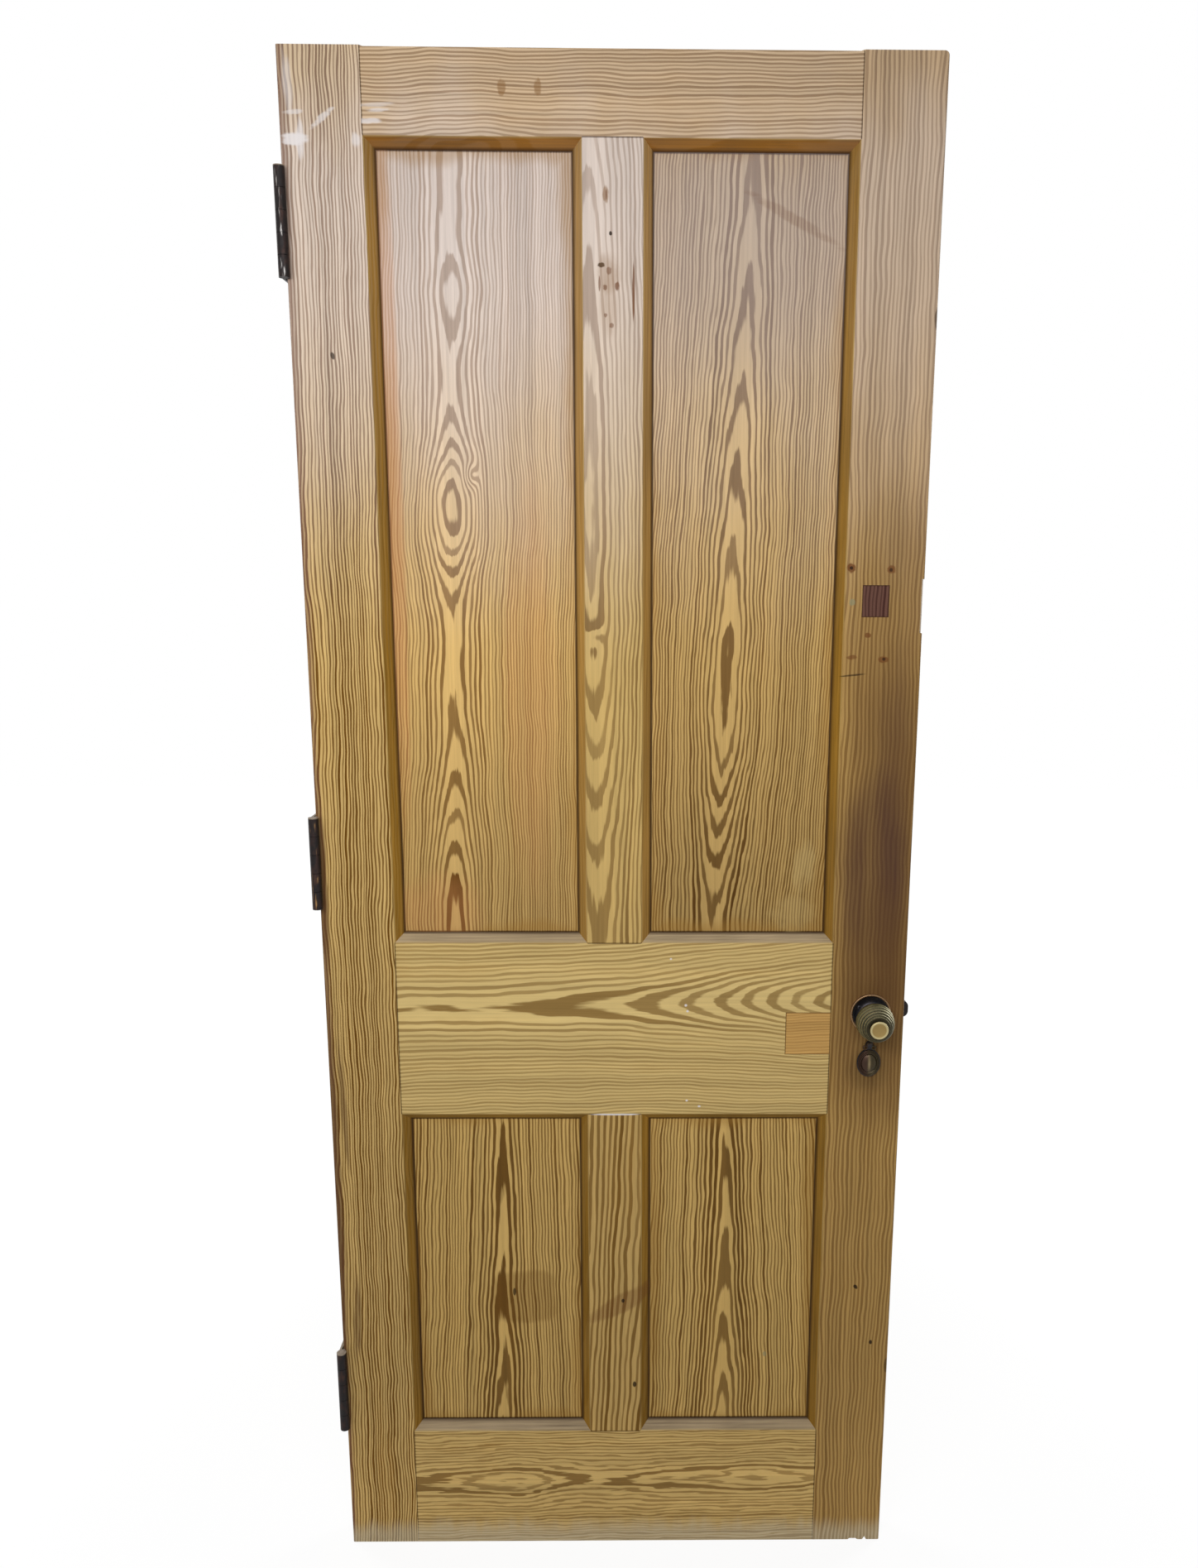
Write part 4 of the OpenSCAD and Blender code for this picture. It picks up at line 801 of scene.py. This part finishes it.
def make_cover_bronze():
    """Bronze of the keyhole cover: reddish at its left, olive at its right, with a painted highlight along
    its crown.
    """
    material, place = new_material("cover_bronze")
    blotch = noise(place, *BRONZE_BUMPS, detail=4.0)
    right, up = place.x - KEYHOLE.x, place.z - KEYHOLE.z
    crown_highlight = (right / CROWN_WIDE).bump() * (up / CROWN_HIGH).bump()
    colour = right.rise(*OLIVE_FROM).between(tone(58, 39, 27), tone(56, 47, 27))
    colour = colour.shaded(1 + blotch * 0.3)
    # Painted highlight: a pale streak down the crown of the cover.
    colour = (crown_highlight * 0.55).between(colour, tone(160, 142, 104))
    rough = 0.38 + blotch * 0.10
    return finish_material(material, colour, rough, blotch, BRONZE_RELIEF, Metallic=0.7)


print("bronze is ready")

# %% Pieces of brass and bronze
cover_bronze = make_cover_bronze()
brass = make_brass()
bronze = make_bronze()
BRASS_PARTS = ("follower", "front_knob", "back_knob")
BRONZE_PARTS = ("rose_screws", "front_rose", "back_rose", "front_escutcheon", "back_escutcheon",
                "escutcheon_pins", "keyhole_cover", "cover_pin")
for name in BRASS_PARTS:
    give(name, brass, "aged_brass")
for name in BRONZE_PARTS:
    give(name, bronze, "dark_bronze")
print("pieces of brass:", len(BRASS_PARTS), "and of bronze:", len(BRONZE_PARTS))

# %% [markdown]
# ## Turned and cast pieces
# Knobs and roses come off a lathe, so each one is a profile that is spun about the spindle. A profile
# lists radius and distance out from the door's face. The keyhole cover is a turned dome that is squeezed
# into an oval, with an eye for its pin and two scrolls beside it.

# %% Lathe
SHARP = math.radians(38)
SAME_PLACE = 1e-6


def spin_profile(shape, profile, middle, side, steps):
    """Adds a spun profile to a mesh. Side -1 is the front of the door and 1 is its back."""
    points = []
    for radius, out in profile:
        points.append(shape.verts.new((middle.x + radius, side * (HALF_THICK + out), middle.z)))
    edges = [shape.edges.new(pair) for pair in zip(points, points[1:])]
    bmesh.ops.spin(shape, geom=points + edges, cent=middle, axis=(0, 1, 0), angle=math.tau, steps=steps,
                   use_merge=True)


def arc(middle, size, start, end, steps):
    """Points along part of an ellipse, with its angles in degrees."""
    angles = [math.radians(start + (end - start) * step / steps) for step in range(steps + 1)]
    return [(middle[0] + size[0] * math.cos(angle), middle[1] + size[1] * math.sin(angle))
            for angle in angles]


def finish_piece(shape, name, body, stands_for, material, slot):
    """Closes a mesh, smooths it, and lets it stand for a piece of the drawing."""
    bmesh.ops.remove_doubles(shape, verts=shape.verts, dist=SAME_PLACE)
    bmesh.ops.recalc_face_normals(shape, faces=shape.faces)
    mesh = bpy.data.meshes.new(name)
    shape.to_mesh(mesh)
    shape.free()
    for face in mesh.polygons:
        face.use_smooth = True
    mesh.set_sharp_from_angle(angle=SHARP)
    piece = bpy.data.objects.new(name, mesh)
    bpy.context.scene.collection.objects.link(piece)
    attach(piece, body)
    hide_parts(stands_for)
    give(name, material, slot)


print("the lathe is ready")

# %% Knobs and roses
NECK, NECK_START, NECK_END, BELL_END = 0.0086, 0.001, 0.015, 0.023
KNOB, KNOB_OUT, BUTTON = 0.0215, 0.062, 0.0118
BEAD_ARC, BUTTON_ROUND, BUTTON_LIP, BUTTON_DISH = 70, 0.0012, 0.0005, 0.0007
ROSE, RIM, RIM_OUT, COLLAR, COLLAR_OUT, COLLAR_BEVEL = 0.027, 0.0014, 0.0021, 0.0125, 0.006, 0.0010
BORE = 0.0089
DISH, DISH_SIZE = (0.0190, 0.0048), (0.0060, 0.0032)
KNOB_STEPS = 96


def knob_profile():
    """Neck, bell, and a shoulder of beads that closes in to the button."""
    points = [(0.0, NECK_START), (NECK, NECK_START)]
    points += arc((KNOB, NECK_END), (NECK - KNOB, BELL_END - NECK_END), 0, 90, 14)
    shoulder = arc((BUTTON, BAND_END), (KNOB - BUTTON, BUTTON_LOW - BAND_END), 0, SHOULDER_ARC, BEADS)
    for low, high in zip(shoulder, shoulder[1:]):
        middle = [(a + b) / 2 for a, b in zip(low, high)]
        size = math.dist(low, high) / 2
        slope = math.degrees(math.atan2(low[0] - high[0], high[1] - low[1]))
        points += arc(middle, (size, size), slope - BEAD_ARC, slope + BEAD_ARC, 8)
    points += [(BUTTON, BUTTON_LOW)]
    button_edge = (BUTTON - BUTTON_ROUND, KNOB_OUT - BUTTON_ROUND)
    points += arc(button_edge, (BUTTON_ROUND, BUTTON_ROUND), 0, 90, 6)
    points += [(BUTTON - 2 * BUTTON_ROUND, KNOB_OUT - BUTTON_LIP), (0.0, KNOB_OUT - BUTTON_DISH)]
    return points


def rose_profile():
    """A round rim, a dished face and a collar with a small bevel round the bore."""
    points = [(BORE, COLLAR_OUT), (BORE, 0.0), (ROSE, 0.0)]
    points += arc((ROSE - RIM, RIM_OUT), (RIM, RIM), 0, 200, 14)
    points += arc(DISH, DISH_SIZE, -30, -150, 12)
    points += [(COLLAR, COLLAR_OUT - COLLAR_BEVEL), (COLLAR - COLLAR_BEVEL, COLLAR_OUT), (BORE, COLLAR_OUT)]
    return points


for side, face in ((-1, "front"), (1, "back")):
    knob = bmesh.new()
    spin_profile(knob, knob_profile(), SPINDLE, side, KNOB_STEPS)
    finish_piece(knob, face + "_beehive_knob", "knob_set", face + "_knob", brass, "aged_brass")
    rose = bmesh.new()
    spin_profile(rose, rose_profile(), SPINDLE, side, KNOB_STEPS)
    finish_piece(rose, face + "_dished_rose", "door", face + "_rose", bronze, "dark_bronze")
print("turned pieces: knobs and roses")

# %% Keyhole cover
COVER_BACK, COVER_HALF, COVER_SQUEEZE, COVER_CROWN = 0.0023, 0.0185, 0.797, 0.0073
COVER_EDGE, DOME_INSET, COVER_STEPS = 0.0006, 0.0052, 72
RIDGES, RIDGE, RIDGE_IN, RIDGE_OUT = 3, 0.0007, 0.0008, 0.0009
RIDGE_STEP_IN, RIDGE_STEP_OUT = 0.0017, 0.0006
PIN_UP, PIN_HOLE, EYE, EYE_THICK, EYE_ROUND, EYE_STEPS = 0.0255, 0.0018, 0.0042, 0.0024, 0.0012, 32
SCROLL, SCROLL_TUBE, SCROLL_SIDE, SCROLL_DOWN, SCROLL_STEPS = 0.0026, 0.0009, 0.0056, 0.0036, 28


def cover_profile():
    """A flat back, three ridges that step inwards and upwards, and a dome."""
    points = [(0.0, COVER_BACK), (COVER_HALF, COVER_BACK), (COVER_HALF, COVER_BACK + COVER_EDGE)]
    for number in range(RIDGES):
        radius = COVER_HALF - RIDGE_IN - number * RIDGE_STEP_IN
        out = COVER_BACK + RIDGE_OUT + number * RIDGE_STEP_OUT
        points += arc((radius, out), (RIDGE, RIDGE), 20, 160, 6)
    points += arc((0.0, COVER_BACK), (COVER_HALF - DOME_INSET, COVER_CROWN - COVER_BACK), 20, 90, 16)
    return points


def eye_profile():
    """A ring with a rounded outer edge, for the pin that the cover hangs on."""
    top = COVER_BACK + EYE_THICK
    points = [(PIN_HOLE, COVER_BACK), (EYE, COVER_BACK)]
    points += arc((EYE - EYE_ROUND, top - EYE_ROUND), (EYE_ROUND, EYE_ROUND), 0, 90, 5)
    points += [(PIN_HOLE, top), (PIN_HOLE, COVER_BACK)]
    return points


cover = bmesh.new()
spin_profile(cover, cover_profile(), KEYHOLE, -1, COVER_STEPS)
to_middle = Matrix.Translation(-KEYHOLE)
bmesh.ops.scale(cover, vec=(COVER_SQUEEZE, 1.0, 1.0), space=to_middle, verts=cover.verts)
pin = KEYHOLE + Vector((0.0, 0.0, PIN_UP))
spin_profile(cover, eye_profile(), pin, -1, EYE_STEPS)
for side in (-1, 1):
    scroll_middle = pin + Vector((side * SCROLL_SIDE, 0.0, -SCROLL_DOWN))
    tube = arc((SCROLL, COVER_BACK + SCROLL_TUBE), (SCROLL_TUBE, SCROLL_TUBE), 0, 360, 12)
    spin_profile(cover, tube, scroll_middle, -1, SCROLL_STEPS)
finish_piece(cover, "oval_keyhole_cover", "cover", "keyhole_cover", cover_bronze, "dark_bronze")
print("cast piece: keyhole cover")

# %% [markdown]
# ## Floor, light and camera
# The floor and the world are white to the camera, as in the photograph. One broad lamp high in front of
# the door lights its upper part and lets the light fall off towards the floor; the pale sheen on its upper
# third is painted into the wood's colour. A weak lamp fills in from the front, and two lamps behind the
# door light its back.

# %% Floor
FLOOR_HALF, FLOOR_GLOW, FLOOR_ROUGHNESS = 6.0, 1.06, 0.9
SHADOW, SHADOW_FADES = 0.14, (0.6, 1.8)
WHITE, PALE_GREY = (1.0, 1.0, 1.0, 1.0), (0.8, 0.8, 0.8, 1.0)


def seen_white(tree):
    """1 for rays from the camera, and for those by way of mirror-like and clear surfaces."""
    path = tree.nodes.new("ShaderNodeLightPath")
    seen = Field(path.outputs["Is Camera Ray"])
    for ray in ("Is Glossy Ray", "Is Transmission Ray"):
        seen = seen.calc("MAXIMUM", seen, Field(path.outputs[ray]))
    return seen


floor_mesh = bpy.data.meshes.new("floor")
floor = bpy.data.objects.new("floor", floor_mesh)
bpy.context.scene.collection.objects.link(floor)
sheet = bmesh.new()
bmesh.ops.create_grid(sheet, x_segments=1, y_segments=1, size=FLOOR_HALF)
sheet.to_mesh(floor_mesh)
sheet.free()

floor_material, floor_place = new_material("pale_floor")
floor_tree = floor_material.node_tree
floor_seen = seen_white(floor_tree)
floor_surface = floor_tree.nodes["Principled BSDF"]
floor_surface.inputs["Base Color"].default_value = PALE_GREY
floor_surface.inputs["Roughness"].default_value = FLOOR_ROUGHNESS
floor_white = floor_seen.node("ShaderNodeEmission", {}, {"Color": WHITE, "Strength": FLOOR_GLOW})
from_door = (floor_place.x * floor_place.x + floor_place.y * floor_place.y).root()
floor_far = from_door.rise(*SHADOW_FADES)
floor_mix = floor_seen.node("ShaderNodeMixShader", {}, {0: floor_seen * (floor_far * SHADOW + (1 - SHADOW))})
floor_tree.links.new(floor_surface.outputs[0], floor_mix.inputs[1])
floor_tree.links.new(floor_white.outputs[0], floor_mix.inputs[2])
floor_tree.links.new(floor_mix.outputs[0], floor_tree.nodes["Material Output"].inputs["Surface"])
floor_mesh.materials.append(floor_material)
print("the floor is white to the camera")

# %% World
WORLD_LIGHT = 0.22
world = bpy.data.worlds.new("studio")
bpy.context.scene.world = world
world.use_nodes = True
world_seen = seen_white(world.node_tree)
background = world.node_tree.nodes["Background"]
level = world_seen * (1 - WORLD_LIGHT) + WORLD_LIGHT
world.node_tree.links.new(level.socket, background.inputs["Strength"])
background.inputs["Color"].default_value = WHITE
print("the world is white to the camera")

# %% Lamps
UPPER_DOOR, DOOR_MIDDLE = (0.0, 0.0, 1.20), (0.0, 0.0, 1.0)


def soft_lamp(name, place, aim, width, height, power, colour):
    """A flat rectangular lamp that looks from one place to another."""
    data = bpy.data.lights.new(name, "AREA")
    data.shape = "RECTANGLE"
    data.size = width
    data.size_y = height
    data.energy = power
    data.color = colour
    lamp = bpy.data.objects.new(name, data)
    bpy.context.scene.collection.objects.link(lamp)
    lamp.location = place
    lamp.rotation_euler = (Vector(aim) - Vector(place)).to_track_quat("-Z", "Y").to_euler()


soft_lamp("high_window", (-0.20, -1.30, 1.72), UPPER_DOOR,
          width=1.4, height=0.4, power=15.0, colour=(0.98, 0.97, 0.98))
soft_lamp("front_fill", (0.30, -3.20, 1.50), UPPER_DOOR,
          width=2.2, height=1.6, power=5.0, colour=(1.0, 0.97, 0.92))
for side in (-1, 1):
    soft_lamp(f"back_corner_{side}", (side * 2.6, 1.8, 1.5), DOOR_MIDDLE,
              width=1.2, height=1.6, power=45.0, colour=(1.0, 1.0, 1.0))
print("lamps:", len(bpy.data.lights))

# %% Camera
CAMERA_PLACE, CAMERA_TURN = (0.0321, -1.5068, 1.3836), (78.660, -0.258, -0.643)
CAMERA_LENS, CAMERA_SHIFT = 27.356, (-0.03551, 0.01483)
camera_data = bpy.data.cameras.new("camera")
camera_data.lens = CAMERA_LENS
camera_data.shift_x, camera_data.shift_y = CAMERA_SHIFT
camera = bpy.data.objects.new("camera", camera_data)
bpy.context.scene.collection.objects.link(camera)
camera.location = CAMERA_PLACE
camera.rotation_euler = [math.radians(angle) for angle in CAMERA_TURN]
bpy.context.scene.camera = camera
bpy.context.scene.view_settings.view_transform = "Standard"
print("the camera is in place")
